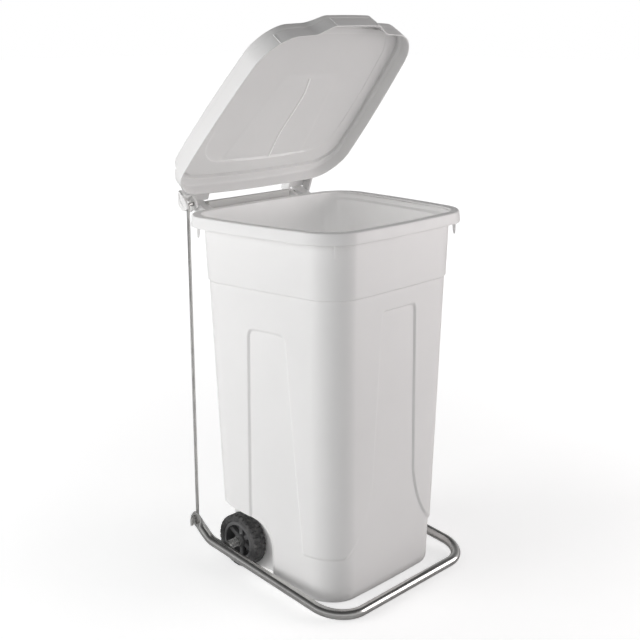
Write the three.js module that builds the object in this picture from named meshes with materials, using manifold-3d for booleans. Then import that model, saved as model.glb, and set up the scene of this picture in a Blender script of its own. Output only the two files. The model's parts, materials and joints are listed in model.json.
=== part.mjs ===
// Mobile pedal bin of about 105 litres: a moulded tub on two wheels, a domed lid hinged at the back,
// and a bent steel tube pedal that turns on the wheel axle and lifts the lid through a push rod.
// Millimetres, +X right, +Y back, +Z up. It stands as when a foot holds the pedal down: lid open.
import * as THREE from "three";
import { mergeVertices } from "three/addons/utils/BufferGeometryUtils.js";
import Module from "manifold-3d";

const wasm = await Module();
wasm.setup();

// ---- driving dimensions -------------------------------------------------------------------

const GAP = 0.3; // air between touching pieces
const deg = THREE.MathUtils.degToRad;
const lerp = THREE.MathUtils.lerp;

const FRAME_SHIFT_Y = -11.9; // puts the middle of the whole bin over the origin

// plan shape, shared by the tub and the lid
const PLAN_TAPER = 0.08; // the bin is wider at the hinge side by this share, narrower at the front
const CORNER_STEPS = 6;
const SIDE_STEPS = 2;
const LID_SIDE_STEPS = 4; // finer, so that the grip in the front edge gets its shape

// tub
const RIM_Z = 800;
const RIM = { halfX: 242, halfY: 211.5, corner: 71, bulge: 10 };
const RIM_HEIGHT = 24;
const RIM_WIDTH = 19;
const FOOT = { halfX: 191.5, halfY: 170.5, corner: 66, shiftY: -5.7 };
const MOUTH = { halfX: 212, halfY: 189.5, corner: 62 };
const WALL_BULGE = 4;
const PANEL_DEPTH = 4; // the faces between the corner columns lie this much lower
const COLUMN_LEVEL = 1; // corner columns stand out from the wall's line by this
const BAND_LEVEL = 4; // and the band by this
const WALL = 3.5;
const FLOOR_Z = 9;
const BAND_Z = 662; // the band under the rim starts here
const COLUMN_Z = 104; // the corner columns start here
const BEYOND = 320; // cutting bodies reach this far from the middle

// hinge
const HINGE = { y: 249, z: 800 };
const PIN_R = 4;
const KNUCKLE_R = 11;
const LUG_INNER = [116, 124];
const CHEEK_INNER = [106, 113];
const LUG_OUTER = [140, 164];
const CHEEK_OUTER = [176, 182.5];
const WEB_LEFT = 119;
const RAIL_X = [-LUG_OUTER[0] - 2, CHEEK_INNER[0] - 2];

// lid
const LID_OPEN = deg(49.4);
const LID = { halfX: 244.3, halfY: 220, corner: 75, bulge: 10 };
const LID_REAR = -31.7; // rear edge of the lid, measured from the hinge axis
const LID_SEAT = 1; // free edge of the closed lid, above the rim
const GRIP_REACH = 21; // the middle of the front stands forward by this, from its free edge to its top
const GRIP_HALF = 61;
const GRIP_RUNOUT = 112;
const REAR_PULL = 14; // the upper part of the lid keeps this far away from the hinge side
const STEP_HALF = 190; // the step round the skirt ends here at the front corners

// wheels and axle
const AXLE = { y: 123.3, z: 60.5, r: 6, halfLength: 206.5 };
const TYRE_R = 60.5;
const RIM_R = 45;
const TYRE_X = [142.5, 175.5];
const HUB_X = [143, 175];
const SPOKES = 6;
const ARCH_X = 140;
const ROUND_SIDES = 16; // sides of small turned parts

// pedal frame
const PEDAL_TUBE_R = 11;
const PEDAL_TUBE_WALL = 1.5;
const PEDAL_ARM_END = 34; // end of the right arm, behind the axle
const BOSS_R = 10;
const PEDAL_HALF_X = 219;
const PEDAL_FRONT = 352;
const PEDAL_CORNER = 70;
const PEDAL_PITCH = deg(8);
const PEDAL_KICK = deg(30);
const KICK_START = 42.4;
const KICK_LENGTH = 73;
const ROD_HOLE_AT = 64.5;
const TAB_HALF = 17;
const TAB_THICK = 4.4;

// push rod, from the tab at the end of the pedal to the lever on the lid
const ROD_R = 3.5;
const ROD_BEND = 4.8;
const ROD_LOW_X = -210.5;
const ROD_TOP_X = -202;
const ROD_TIP_X = -178.6;
const ROD_TAIL_X = -228;
const ROD_TAIL_DROP = 18;
const LEVER_PIVOT = { y: -23.3, z: -10.3 }; // in the closed lid, from the hinge axis
const PIVOT_PLAY = { y: 2.6, z: 1.4 }; // the slot for the rod's end is this much longer than round

// ---- materials ----------------------------------------------------------------------------

function material(color, roughness, metalness = 0) {
  return new THREE.MeshStandardMaterial({ color, roughness, metalness });
}

const WHITE = material(0xe9e8e6, 0.45);
const LEVER_WHITE = material(0xdededb, 0.5);
const STEEL = material(0xb9b7b3, 0.22, 1);
const DULL_STEEL = material(0x8f8e8b, 0.4, 1);
const BLACK = material(0x232323, 0.5);
const RUBBER = material(0x2d2d2d, 0.8);

// ---- solids -------------------------------------------------------------------------------

function solid(geometry) {
  const bare = geometry.clone();
  bare.deleteAttribute("normal");
  bare.deleteAttribute("uv");
  const merged = mergeVertices(bare, 1e-4);
  const mesh = new wasm.Mesh({
    numProp: 3,
    vertProperties: new Float32Array(merged.attributes.position.array),
    triVerts: new Uint32Array(merged.index.array),
  });
  return new wasm.Manifold(mesh);
}

function join(first, ...rest) {
  return rest.reduce((sum, part) => sum.add(part), first);
}

function cut(first, ...rest) {
  return rest.reduce((sum, part) => sum.subtract(part), first);
}

function geometryOf(manifold) {
  const mesh = manifold.getMesh();
  const geometry = new THREE.BufferGeometry();
  geometry.setAttribute("position", new THREE.BufferAttribute(mesh.vertProperties, 3));
  geometry.setIndex(new THREE.BufferAttribute(mesh.triVerts, 1));
  geometry.computeVertexNormals();
  return geometry;
}

// closed body through rings of equally many points, each ring counter-clockwise seen from the last
function loft(rings) {
  const count = rings[0].length;
  const positions = [];
  const index = [];
  rings.flat().forEach((point) => positions.push(point.x, point.y, point.z));
  for (let i = 0; i + 1 < rings.length; i += 1) {
    for (let j = 0; j < count; j += 1) {
      const a = i * count + j;
      const b = i * count + ((j + 1) % count);
      index.push(a, b, b + count, a, b + count, a + count);
    }
  }
  const last = (rings.length - 1) * count;
  for (const [start, flip] of [[0, true], [last, false]]) {
    const middle = new THREE.Vector3();
    rings[start / count].forEach((point) => middle.add(point));
    middle.divideScalar(count);
    const hub = positions.length / 3;
    positions.push(middle.x, middle.y, middle.z);
    for (let j = 0; j < count; j += 1) {
      const a = start + j;
      const b = start + ((j + 1) % count);
      index.push(hub, flip ? b : a, flip ? a : b);
    }
  }
  const geometry = new THREE.BufferGeometry();
  geometry.setAttribute("position", new THREE.Float32BufferAttribute(positions, 3));
  geometry.setIndex(index);
  return geometry;
}

// rounded, slightly tapered and bulging outline of the tub and the lid
function planRing(shape, z, inset = 0, shiftY = 0, sideSteps = SIDE_STEPS) {
  const halfX = shape.halfX - inset;
  const halfY = shape.halfY - inset;
  const radius = Math.max(shape.corner - inset, 12);
  const corners = [[1, 1, 0], [-1, 1, 90], [-1, -1, 180], [1, -1, 270]];
  const raw = [];
  corners.forEach(([sideX, sideY, start], number) => {
    for (let i = 0; i <= CORNER_STEPS; i += 1) {
      const angle = deg(start + (90 * i) / CORNER_STEPS);
      raw.push([sideX * (halfX - radius) + radius * Math.cos(angle),
        sideY * (halfY - radius) + radius * Math.sin(angle)]);
    }
    const [nextX, nextY] = corners[(number + 1) % 4];
    const from = raw[raw.length - 1];
    const alongX = number % 2 === 0;
    const to = alongX ? [nextX * (halfX - radius), from[1]] : [from[0], nextY * (halfY - radius)];
    for (let i = 1; i < sideSteps; i += 1) {
      raw.push([lerp(from[0], to[0], i / sideSteps), lerp(from[1], to[1], i / sideSteps)]);
    }
  });
  return raw.map(([x, y]) => {
    const bowX = 1 - (shape.bulge / halfX) * (y / halfY) ** 2;
    const bowY = 1 - (shape.bulge / halfY) * (x / halfX) ** 2;
    return new THREE.Vector3(x * bowX * (1 + (PLAN_TAPER * y) / halfY), y * bowY + shiftY, z);
  });
}

// outline of the tub wall at height z, at the level of the corner columns
function wallRing(z, inset = 0) {
  const t = z / RIM_Z;
  const shape = {
    halfX: lerp(FOOT.halfX, MOUTH.halfX, t),
    halfY: lerp(FOOT.halfY, MOUTH.halfY, t),
    corner: lerp(FOOT.corner, MOUTH.corner, t),
    bulge: WALL_BULGE,
  };
  return planRing(shape, z, inset, FOOT.shiftY * (1 - t));
}

function extruded(outline, depth) {
  return new THREE.ExtrudeGeometry(outline, { depth, bevelEnabled: false, curveSegments: 10 });
}

// flat outline drawn in the Y-Z plane and extruded along X between two values
function plateX(outline, from, to) {
  const turn = new THREE.Matrix4().makeBasis(
    new THREE.Vector3(0, 1, 0), new THREE.Vector3(0, 0, 1), new THREE.Vector3(1, 0, 0));
  return solid(extruded(outline, to - from).applyMatrix4(turn).translate(from, 0, 0));
}

// flat outline drawn in the X-Z plane and extruded along Y between two values
function plateY(outline, from, to) {
  return solid(extruded(outline, to - from).rotateX(Math.PI / 2).translate(0, to, 0));
}

function polygon(points) {
  return new THREE.Shape(points.map(([u, v]) => new THREE.Vector2(u, v)));
}

// straight round bar along X
function barX(radius, from, to, y, z, sides = 20) {
  const geometry = new THREE.CylinderGeometry(radius, radius, to - from, sides);
  return solid(geometry.rotateZ(Math.PI / 2).translate((from + to) / 2, y, z));
}

// washer or sleeve along X
function ringX(outer, inner, from, to, y, z) {
  return cut(barX(outer, from, to, y, z, ROUND_SIDES), barX(inner, from - 1, to + 1, y, z, ROUND_SIDES));
}

// both ends of a span on one side of the bin, in rising order
function span([near, far], side) {
  return side > 0 ? [near, far] : [-far, -near];
}

// corners of a path replaced by arcs
function roundedPath(corners, radii, steps = 7) {
  const path = [corners[0]];
  for (let i = 1; i + 1 < corners.length; i += 1) {
    const back = corners[i - 1].clone().sub(corners[i]).normalize();
    const ahead = corners[i + 1].clone().sub(corners[i]).normalize();
    const half = back.angleTo(ahead) / 2;
    const radius = radii[i - 1];
    const inward = back.clone().add(ahead).normalize();
    const centre = inward.multiplyScalar(radius / Math.sin(half)).add(corners[i]);
    const start = back.multiplyScalar(radius / Math.tan(half)).add(corners[i]).sub(centre);
    const end = ahead.multiplyScalar(radius / Math.tan(half)).add(corners[i]).sub(centre);
    const axis = start.clone().cross(end).normalize();
    for (let j = 0; j <= steps; j += 1) {
      path.push(start.clone().applyAxisAngle(axis, ((Math.PI - 2 * half) * j) / steps).add(centre));
    }
  }
  path.push(corners[corners.length - 1]);
  return path;
}

// round bar along a path; size(i) may stretch the section across and along the first side direction
function sweep(path, radius, side, sides = 12, size = () => [1, 1]) {
  let across = side.clone();
  const rings = path.map((point, i) => {
    const before = path[Math.max(i - 1, 0)];
    const after = path[Math.min(i + 1, path.length - 1)];
    const tangent = after.clone().sub(before).normalize();
    across = across.sub(tangent.clone().multiplyScalar(across.dot(tangent))).normalize();
    const up = tangent.clone().cross(across);
    const [scaleAcross, scaleUp] = size(i);
    return Array.from({ length: sides }, (_, k) => {
      const angle = (2 * Math.PI * k) / sides;
      return point.clone()
        .addScaledVector(across, radius * scaleAcross * Math.cos(angle))
        .addScaledVector(up, radius * scaleUp * Math.sin(angle));
    });
  });
  return solid(loft(rings));
}

// ---- tub ----------------------------------------------------------------------------------

// recess between the columns of the two side faces, seen from the side
function sidePanel() {
  return polygon([[53, 90], [53, 180], [41, 565], [33, 577], [-46, 577], [-56, 568], [-71, 336], [-91, 92],
    [-96, 60], [60, 60]]);
}

// recess between the columns of the front and rear faces; it flares out over the foot
function endPanel() {
  const outline = new THREE.Shape();
  outline.moveTo(-150, 60);
  outline.lineTo(-140, COLUMN_Z);
  outline.quadraticCurveTo(-86, 150, -68, 245);
  outline.lineTo(-52, 612);
  outline.quadraticCurveTo(-51, 622, -42, 622);
  outline.lineTo(42, 622);
  outline.quadraticCurveTo(51, 622, 52, 612);
  outline.lineTo(68, 245);
  outline.quadraticCurveTo(86, 150, 140, COLUMN_Z);
  outline.lineTo(150, 60);
  return outline;
}

// wheel arch seen from the side, open to the back and below; grow makes its skin inside the tub
function archShape(grow = 0) {
  const front = -6 - grow;
  const outline = new THREE.Shape();
  outline.moveTo(front, -20);
  outline.lineTo(front, 92);
  outline.quadraticCurveTo(front + 6, 146 + grow, 56, 152 + grow);
  outline.lineTo(300, 186 + grow);
  outline.lineTo(300, -20);
  return outline;
}

function arches(grow = 0) {
  const shape = archShape(grow);
  return join(plateX(shape, ARCH_X - grow, BEYOND), plateX(shape, -BEYOND, grow - ARCH_X));
}

// slot under the floor that the axle drops into
function axleSlot(grow = 0) {
  const half = 12 + grow;
  const outline = new THREE.Shape();
  outline.moveTo(AXLE.y - half, -20);
  outline.lineTo(AXLE.y - half, AXLE.z);
  outline.absarc(AXLE.y, AXLE.z, half, Math.PI, 0, true);
  outline.lineTo(AXLE.y + half, -20);
  const reach = ARCH_X - 5 + 2 * grow;
  return plateX(outline, -reach, reach);
}

// small hook under the rim at the middle of a corner, for the edge of the bag
function bagHook(sideX, sideY) {
  const outline = polygon([[-9, 0], [12, 0], [15, -5], [15.6, -17], [15, -31], [11.4, -31.5],
    [9.6, -24], [9, -14], [6, -8], [-3, -5]]);
  const thick = 4;
  const geometry = extruded(outline, thick).translate(0, 0, -thick / 2).rotateX(Math.PI / 2);
  const ring = wallRing(RIM_Z - RIM_HEIGHT, -4);
  const corner = ring.reduce((best, p) => (
    p.x * sideX + p.y * sideY > best.x * sideX + best.y * sideY ? p : best));
  geometry.rotateZ(Math.atan2(sideY, sideX)).translate(corner.x, corner.y, RIM_Z - RIM_HEIGHT + 3);
  return solid(geometry);
}

// plate on the tub that carries the hinge pin, between two distances from the middle
function hingeLug([near, far], side) {
  const outline = new THREE.Shape();
  outline.moveTo(-50, -22);
  outline.lineTo(-34, -22);
  outline.lineTo(-4, -KNUCKLE_R);
  outline.absarc(0, 0, KNUCKLE_R, -Math.PI / 2 - 0.3, deg(110), false);
  outline.lineTo(-31, -2);
  outline.lineTo(-50, -2);
  const [from, to] = span([near, far], side);
  return plateX(outline, from, to).translate([0, HINGE.y, HINGE.z]);
}

function rearRail() {
  const bar = plateX(polygon([[-21, -9], [-19, -11], [-11, -11], [-9, -9], [-9, 9], [-11, 11], [-19, 11],
    [-21, 9]]), ...RAIL_X);
  const tie = polygon([[-48, -20], [-15, -10], [-15, -3], [-48, -3]]);
  const ties = [-45, 45].map((x) => plateX(tie, x - 3, x + 3));
  return join(bar, ...ties).translate([0, HINGE.y, HINGE.z]);
}

function tubOutside() {
  const low = PANEL_DEPTH - COLUMN_LEVEL;
  const body = solid(loft([wallRing(0, low + 8), wallRing(2.5, low + 3), wallRing(9, low),
    wallRing(BAND_Z, low), wallRing(RIM_Z - 20, low)]));
  const sleeve = solid(loft([wallRing(COLUMN_Z - 4, low + 2), wallRing(COLUMN_Z, -COLUMN_LEVEL),
    wallRing(BAND_Z + 2, -COLUMN_LEVEL)]));
  const columns = cut(sleeve, plateX(sidePanel(), -BEYOND, BEYOND), plateY(endPanel(), -BEYOND, BEYOND));
  const band = solid(loft([wallRing(BAND_Z - 2, -COLUMN_LEVEL), wallRing(BAND_Z, -BAND_LEVEL),
    wallRing(RIM_Z - 20, -BAND_LEVEL), planRing(RIM, RIM_Z - 6, RIM_WIDTH - WALL),
    planRing(RIM, RIM_Z - 2, RIM_WIDTH - WALL)]));
  return join(body, columns, band);
}

function rimFlange() {
  const skin = 3;
  const under = RIM_Z - RIM_HEIGHT;
  const top = RIM_Z - skin;
  const outer = solid(loft([planRing(RIM, under, -2), planRing(RIM, top, 0), planRing(RIM, RIM_Z, 2.5)]));
  const inner = solid(loft([planRing(RIM, under - 5, skin - 2.4), planRing(RIM, top, skin)]));
  return cut(outer, inner);
}

function tubInside() {
  const skin = PANEL_DEPTH - COLUMN_LEVEL + WALL;
  const hollow = solid(loft([wallRing(FLOOR_Z, skin + 10), wallRing(FLOOR_Z + 4, skin + 3),
    wallRing(FLOOR_Z + 12, skin), wallRing(BAND_Z - 4, skin), wallRing(BAND_Z + 4, 0),
    wallRing(RIM_Z - 18, 0), planRing(RIM, RIM_Z - 5, RIM_WIDTH),
    planRing(RIM, RIM_Z + 5, RIM_WIDTH - 0.5)]));
  return cut(hollow, arches(WALL + 0.5), axleSlot(WALL));
}

function tub() {
  const corners = [[1, 1], [-1, 1], [-1, -1], [1, -1]];
  const hooks = corners.map(([sideX, sideY]) => bagHook(sideX, sideY));
  const lugs = [hingeLug(LUG_OUTER, -1), hingeLug(LUG_INNER, 1), hingeLug(LUG_OUTER, 1)];
  const full = join(tubOutside(), rimFlange(), ...hooks, ...lugs, rearRail());
  const pinHole = barX(PIN_R + GAP, -BEYOND, BEYOND, HINGE.y, HINGE.z, ROUND_SIDES);
  const axleHole = barX(AXLE.r + GAP, -ARCH_X - 20, ARCH_X + 20, AXLE.y, AXLE.z, ROUND_SIDES);
  return cut(full, tubInside(), arches(), axleSlot(), pinHole, axleHole);
}

// ---- lid, drawn closed with the hinge axis at the origin ----------------------------------

// ring of the lid at a height over its free edge; reach pushes the middle of the front forward, pull
// draws the hinge side forward, and flush draws in the front between the ends of the step
function lidRing(height, inset, reach = 0, pull = 0, flush = 0) {
  const shiftY = LID_REAR - LID.halfY;
  const { smoothstep } = THREE.MathUtils;
  return planRing(LID, LID_SEAT + height, inset, shiftY, LID_SIDE_STEPS).map((point) => {
    const front = point.y < shiftY - LID.halfY * 0.6;
    const middle = smoothstep(GRIP_RUNOUT - Math.abs(point.x), 0, GRIP_RUNOUT - GRIP_HALF);
    const forward = front ? reach * middle : 0;
    const back = pull * smoothstep(point.y - shiftY, 40, LID.halfY);
    const drawnIn = front && Math.abs(point.x) < STEP_HALF ? flush : 0;
    return point.setY(point.y - forward - back + drawnIn);
  });
}

// skirt with a step in its upper half, grip, shoulder and low dome
function lidShell() {
  const reach = GRIP_REACH;
  const pull = REAR_PULL;
  const outside = solid(loft([lidRing(0, 0, reach), lidRing(27.5, 1.2, reach, 0, 2.2),
    lidRing(29, 3.7, reach, pull), lidRing(37, 4.8, reach, pull), lidRing(40, 5.4, reach - 5, pull),
    lidRing(43, 6.3, reach - 11, pull), lidRing(45, 10, reach - 18, pull), lidRing(45.3, 14, 2, pull),
    lidRing(45.6, 24, 0, pull), lidRing(46.4, 38, 0, pull), lidRing(49.4, 82, 0, pull),
    lidRing(51, 135, 0, pull)]));
  return cut(outside, lidInside());
}

function lidInside() {
  const reach = GRIP_REACH;
  const pull = REAR_PULL;
  return solid(loft([lidRing(-2, 3, reach), lidRing(24, 4.4, reach), lidRing(26, 6.9, reach, pull),
    lidRing(33, 8, reach - 4, pull), lidRing(36, 12, reach - 12, pull), lidRing(37.8, 18, 0, pull),
    lidRing(38.5, 24, 0, pull), lidRing(40.5, 38, 0, pull), lidRing(44.8, 82, 0, pull),
    lidRing(46.8, 135, 0, pull)]));
}

// where a hinge begins, from the middle: the left one at its lug, the right one at its inner cheek
function innerEnd(side) {
  return side < 0 ? LUG_OUTER[0] : CHEEK_INNER[0];
}

function lidArm(side) {
  const cheek = new THREE.Shape();
  cheek.moveTo(-54, 3.5);
  cheek.lineTo(-38, 3.5);
  cheek.lineTo(-3, -KNUCKLE_R + 1);
  cheek.absarc(0, 0, KNUCKLE_R - 0.5, -Math.PI / 2 - 0.2, deg(100), false);
  cheek.lineTo(-36, 29);
  cheek.lineTo(-54, 29);
  const web = polygon([[-54, 29], [-54, 25.5], [-38, 25.5], [-4, 12], [-1, 12.5], [-3, 15], [-36, 29]]);
  const near = side < 0 ? WEB_LEFT : CHEEK_INNER[0] + 1;
  const cheeks = side < 0 ? [CHEEK_OUTER] : [CHEEK_INNER, CHEEK_OUTER];
  return join(...cheeks.map((pair) => plateX(cheek, ...span(pair, side))),
    plateX(web, ...span([near, CHEEK_OUTER[1] - 1], side)));
}

const LEVER_SCREWS = [[-30, 11], [-18, 5]];

function lid() {
  const arms = [-1, 1].map(lidArm);
  const pinHole = barX(PIN_R + GAP, -BEYOND, BEYOND, 0, 0, ROUND_SIDES);
  const screwHoles = LEVER_SCREWS.map(([y, z]) => barX(2 + GAP, -190, -170, y, z, 10));
  const trimmed = cut(join(...arms), lidInside());
  return cut(join(lidShell(), trimmed), pinHole, ...screwHoles);
}

// lever on the left arm that the push rod lifts: two plates, the inner one with a slot for the rod's
// end, and the block between them
function lidLever() {
  const cheek = CHEEK_OUTER[1];
  const inner = [-cheek - 5.8, -cheek - GAP];
  const outer = [ROD_TOP_X - 11.5, ROD_TOP_X - 6.5];
  const plate = polygon([[-34, 4], [-35, 22], [-24, 16], [-22.5, 13], [-17, 10.5], [-15, 7],
    [-11, 5], [-10, 0], [-8, -14], [-14, -19], [-25, -22], [-33, -12]]);
  const block = polygon([[-34, 4], [-35, 22], [-24, 16], [-15, 7], [-18, 2]]);
  const slotEnds = [0, 1].map((share) => barX(ROD_R + 3 * GAP, inner[0] - 2, inner[1] + 2,
    LEVER_PIVOT.y + share * PIVOT_PLAY.y, LEVER_PIVOT.z + share * PIVOT_PLAY.z, ROUND_SIDES));
  const screwHoles = LEVER_SCREWS.map(([y, z]) => barX(2 + GAP, inner[0] - 2, -170, y, z, 10));
  const plates = cut(plateX(plate, ...inner), wasm.Manifold.hull(slotEnds));
  return cut(join(plates, plateX(plate, ...outer), plateX(block, outer[0], inner[1])), ...screwHoles);
}

function leverScrew([y, z]) {
  const head = -CHEEK_OUTER[0] + GAP;
  return join(barX(2, -CHEEK_OUTER[1] - 6, head + 1, y, z, 10), barX(4, head, head + 2.6, y, z, 12));
}

// ---- hinge pins ---------------------------------------------------------------------------

function hingePin(side) {
  const near = innerEnd(side);
  const shank = span([near - 3, CHEEK_OUTER[1] + 4], side);
  const head = span([near - 6, near - GAP], side);
  const stem = barX(PIN_R, ...shank, HINGE.y, HINGE.z, ROUND_SIDES);
  const groove = ringX(PIN_R + 2, PIN_R - 1, ...span([CHEEK_OUTER[1] + GAP, CHEEK_OUTER[1] + 2.4], side),
    HINGE.y, HINGE.z);
  return cut(join(stem, barX(7, ...head, HINGE.y, HINGE.z, 18)), groove);
}

function hingeClip(side) {
  const at = span([CHEEK_OUTER[1] + 2 * GAP, CHEEK_OUTER[1] + 2.1], side);
  return ringX(7.5, PIN_R - 0.7, ...at, HINGE.y, HINGE.z);
}

// ---- pedal frame --------------------------------------------------------------------------

// point of the pedal's side arm at a distance behind the axle, measured along the arm
function armPoint(x, along) {
  const rise = along * Math.sin(PEDAL_PITCH);
  return new THREE.Vector3(x, AXLE.y + along * Math.cos(PEDAL_PITCH), AXLE.z + rise);
}

// point of the kicked-up end of the left arm
function kickPoint(along) {
  const angle = PEDAL_PITCH + PEDAL_KICK;
  return armPoint(-PEDAL_HALF_X, KICK_START)
    .add(new THREE.Vector3(0, along * Math.cos(angle), along * Math.sin(angle)));
}

const ROD_LOW = kickPoint(ROD_HOLE_AT);

function pedalPath(kickEnd) {
  return roundedPath([armPoint(PEDAL_HALF_X, PEDAL_ARM_END), armPoint(PEDAL_HALF_X, -PEDAL_FRONT),
    armPoint(-PEDAL_HALF_X, -PEDAL_FRONT), armPoint(-PEDAL_HALF_X, KICK_START), kickPoint(kickEnd)],
  [PEDAL_CORNER, PEDAL_CORNER, 50]);
}

function pedalFrame() {
  const round = 34;
  const flatFrom = 50;
  const path = pedalPath(round);
  const straight = path.length;
  path.push(kickPoint(42), kickPoint(flatFrom), kickPoint(KICK_LENGTH));
  const flat = [TAB_THICK / 2 / PEDAL_TUBE_R, TAB_HALF / PEDAL_TUBE_R];
  const size = (i) => {
    const share = THREE.MathUtils.clamp((i - straight + 1) / 2, 0, 1);
    return [lerp(1, flat[0], share), lerp(1, flat[1], share)];
  };
  const side = new THREE.Vector3(1, 0, 0);
  const outer = sweep(path, PEDAL_TUBE_R, side, 12, size);
  const bore = pedalPath(round - 4);
  bore[0] = armPoint(PEDAL_HALF_X, PEDAL_ARM_END + 2);
  const inner = sweep(bore, PEDAL_TUBE_R - PEDAL_TUBE_WALL, side, 8);
  const hole = barX(ROD_R + 0.5, ROD_TAIL_X, ROD_LOW_X + 10, ROD_LOW.y, ROD_LOW.z, ROUND_SIDES);
  return cut(outer, inner, hole);
}

// sleeve welded to the inside of each arm, closed towards the arm, that turns on the axle's end
function pedalBoss(side) {
  const arm = PEDAL_HALF_X - PEDAL_TUBE_R;
  const body = span([HUB_X[1] + 2.4, arm - GAP], side);
  const bore = span([HUB_X[1], AXLE.halfLength + GAP], side);
  return cut(barX(BOSS_R, ...body, AXLE.y, AXLE.z, ROUND_SIDES),
    barX(AXLE.r + GAP, ...bore, AXLE.y, AXLE.z, ROUND_SIDES));
}

function pedalPlug() {
  const radius = PEDAL_TUBE_R - PEDAL_TUBE_WALL - 4 * GAP;
  const profile = [[0, -14], [radius - 0.8, -14], [radius, -12], [radius, GAP], [PEDAL_TUBE_R, GAP],
    [PEDAL_TUBE_R, 2], [PEDAL_TUBE_R - 2, 3.6], [0, 4]].map(([r, h]) => new THREE.Vector2(r, h));
  const geometry = new THREE.LatheGeometry(profile, 14).rotateX(PEDAL_PITCH);
  const end = armPoint(PEDAL_HALF_X, PEDAL_ARM_END);
  return solid(geometry.translate(end.x, end.y, end.z));
}

// ---- push rod -----------------------------------------------------------------------------

// a point of the closed lid, given from the hinge axis, where it is with the lid open
function openPoint(x, y, z) {
  return new THREE.Vector3(x, y, z).applyAxisAngle(new THREE.Vector3(1, 0, 0), -LID_OPEN)
    .add(new THREE.Vector3(0, HINGE.y, HINGE.z));
}

const ROD_HIGH = openPoint(ROD_TOP_X, LEVER_PIVOT.y, LEVER_PIVOT.z);

function pushRod() {
  const corners = [
    new THREE.Vector3(ROD_TAIL_X, ROD_LOW.y, ROD_LOW.z - ROD_TAIL_DROP),
    new THREE.Vector3(ROD_TAIL_X, ROD_LOW.y, ROD_LOW.z),
    new THREE.Vector3(ROD_LOW_X, ROD_LOW.y, ROD_LOW.z),
    ROD_HIGH.clone(),
    new THREE.Vector3(ROD_TIP_X, ROD_HIGH.y, ROD_HIGH.z),
  ];
  const path = roundedPath(corners, [ROD_BEND, ROD_BEND, ROD_BEND], 4);
  return sweep(path, ROD_R, new THREE.Vector3(1, 0, 0), 10);
}

// push-on clip that keeps the rod in the tab
function rodClipLow() {
  return ringX(7, ROD_R + GAP, ROD_LOW_X - 5.9, ROD_LOW_X - 4.5, ROD_LOW.y, ROD_LOW.z);
}

// and the one on its end inside the lever
function rodClipHigh() {
  const from = -CHEEK_OUTER[1] + GAP;
  return ringX(5.2, ROD_R + 0.1, from, from + 1.7, LEVER_PIVOT.y, LEVER_PIVOT.z);
}

// ---- wheels -------------------------------------------------------------------------------

function latheX(profile, sides) {
  const points = profile.map(([r, x]) => new THREE.Vector2(r, x));
  return new THREE.LatheGeometry(points, sides).rotateZ(-Math.PI / 2);
}

function wheelHub(side) {
  const middle = (TYRE_X[0] + TYRE_X[1]) / 2;
  const half = (TYRE_X[1] - TYRE_X[0]) / 2;
  const seat = RIM_R - GAP;
  const rim = solid(latheX([[seat, -half + 2], [seat, half - 2], [seat - 2, half], [seat - 7, half],
    [seat - 7, half - 3], [seat - 5, 0], [seat - 7, 3 - half], [seat - 7, -half], [seat - 2, -half],
    [seat, -half + 2]], 30));
  const boss = barX(12, HUB_X[0] - middle, HUB_X[1] - middle, 0, 0, ROUND_SIDES);
  const spokes = Array.from({ length: SPOKES }, (_, i) => {
    const box = new THREE.BoxGeometry(12, 9, seat - 15);
    box.translate(0, 0, (seat - 15) / 2 + 9).rotateX((i * 2 * Math.PI) / SPOKES);
    return solid(box);
  });
  const bore = barX(AXLE.r + 2, -half * 2, half * 2, 0, 0, ROUND_SIDES);
  return cut(join(rim, boss, ...spokes), bore).translate([side * middle, AXLE.y, AXLE.z]);
}

function tyre(side) {
  const middle = (TYRE_X[0] + TYRE_X[1]) / 2;
  const half = (TYRE_X[1] - TYRE_X[0]) / 2;
  const profile = [[RIM_R, -half + 2], [RIM_R + 3, -half], [TYRE_R - 5, -half], [TYRE_R - 1.2, 3 - half],
    [TYRE_R, 6 - half], [TYRE_R, half - 6], [TYRE_R - 1.2, half - 3], [TYRE_R - 5, half], [RIM_R + 3, half],
    [RIM_R, half - 2], [RIM_R, -half + 2]];
  return latheX(profile, 36).translate(side * middle, AXLE.y, AXLE.z);
}

// nylon bush in the hub, running on the axle
function hubBush(side) {
  const at = span([HUB_X[0] - 0.2, HUB_X[1] + 0.2], side);
  return ringX(AXLE.r + 2 - GAP, AXLE.r + GAP, ...at, AXLE.y, AXLE.z);
}

function washer([near, far], side) {
  return ringX(11, AXLE.r + GAP, ...span([near, far], side), AXLE.y, AXLE.z);
}

// ---- assembly -----------------------------------------------------------------------------

const bin = new THREE.Group();
bin.position.y = FRAME_SHIFT_Y;

function add(parent, name, shape, look) {
  const geometry = shape instanceof THREE.BufferGeometry ? shape : geometryOf(shape);
  const mesh = new THREE.Mesh(geometry, look);
  mesh.name = name;
  parent.add(mesh);
}

const lidGroup = new THREE.Group();
lidGroup.position.set(0, HINGE.y, HINGE.z);
lidGroup.rotation.x = -LID_OPEN;
bin.add(lidGroup);

add(bin, "tub", tub(), WHITE);
add(lidGroup, "lid", lid(), WHITE);
add(lidGroup, "lid_lever", lidLever(), LEVER_WHITE);
add(lidGroup, "lever_screw_upper", leverScrew(LEVER_SCREWS[0]), DULL_STEEL);
add(lidGroup, "lever_screw_lower", leverScrew(LEVER_SCREWS[1]), DULL_STEEL);
add(bin, "push_rod", pushRod(), STEEL);
add(lidGroup, "rod_clip_upper", rodClipHigh(), DULL_STEEL);
add(bin, "rod_clip_lower", rodClipLow(), DULL_STEEL);
add(bin, "pedal_frame", pedalFrame(), STEEL);
add(bin, "pedal_end_plug", pedalPlug(), BLACK);
const axle = barX(AXLE.r, -AXLE.halfLength, AXLE.halfLength, AXLE.y, AXLE.z, ROUND_SIDES);
add(bin, "axle", axle, DULL_STEEL);

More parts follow.
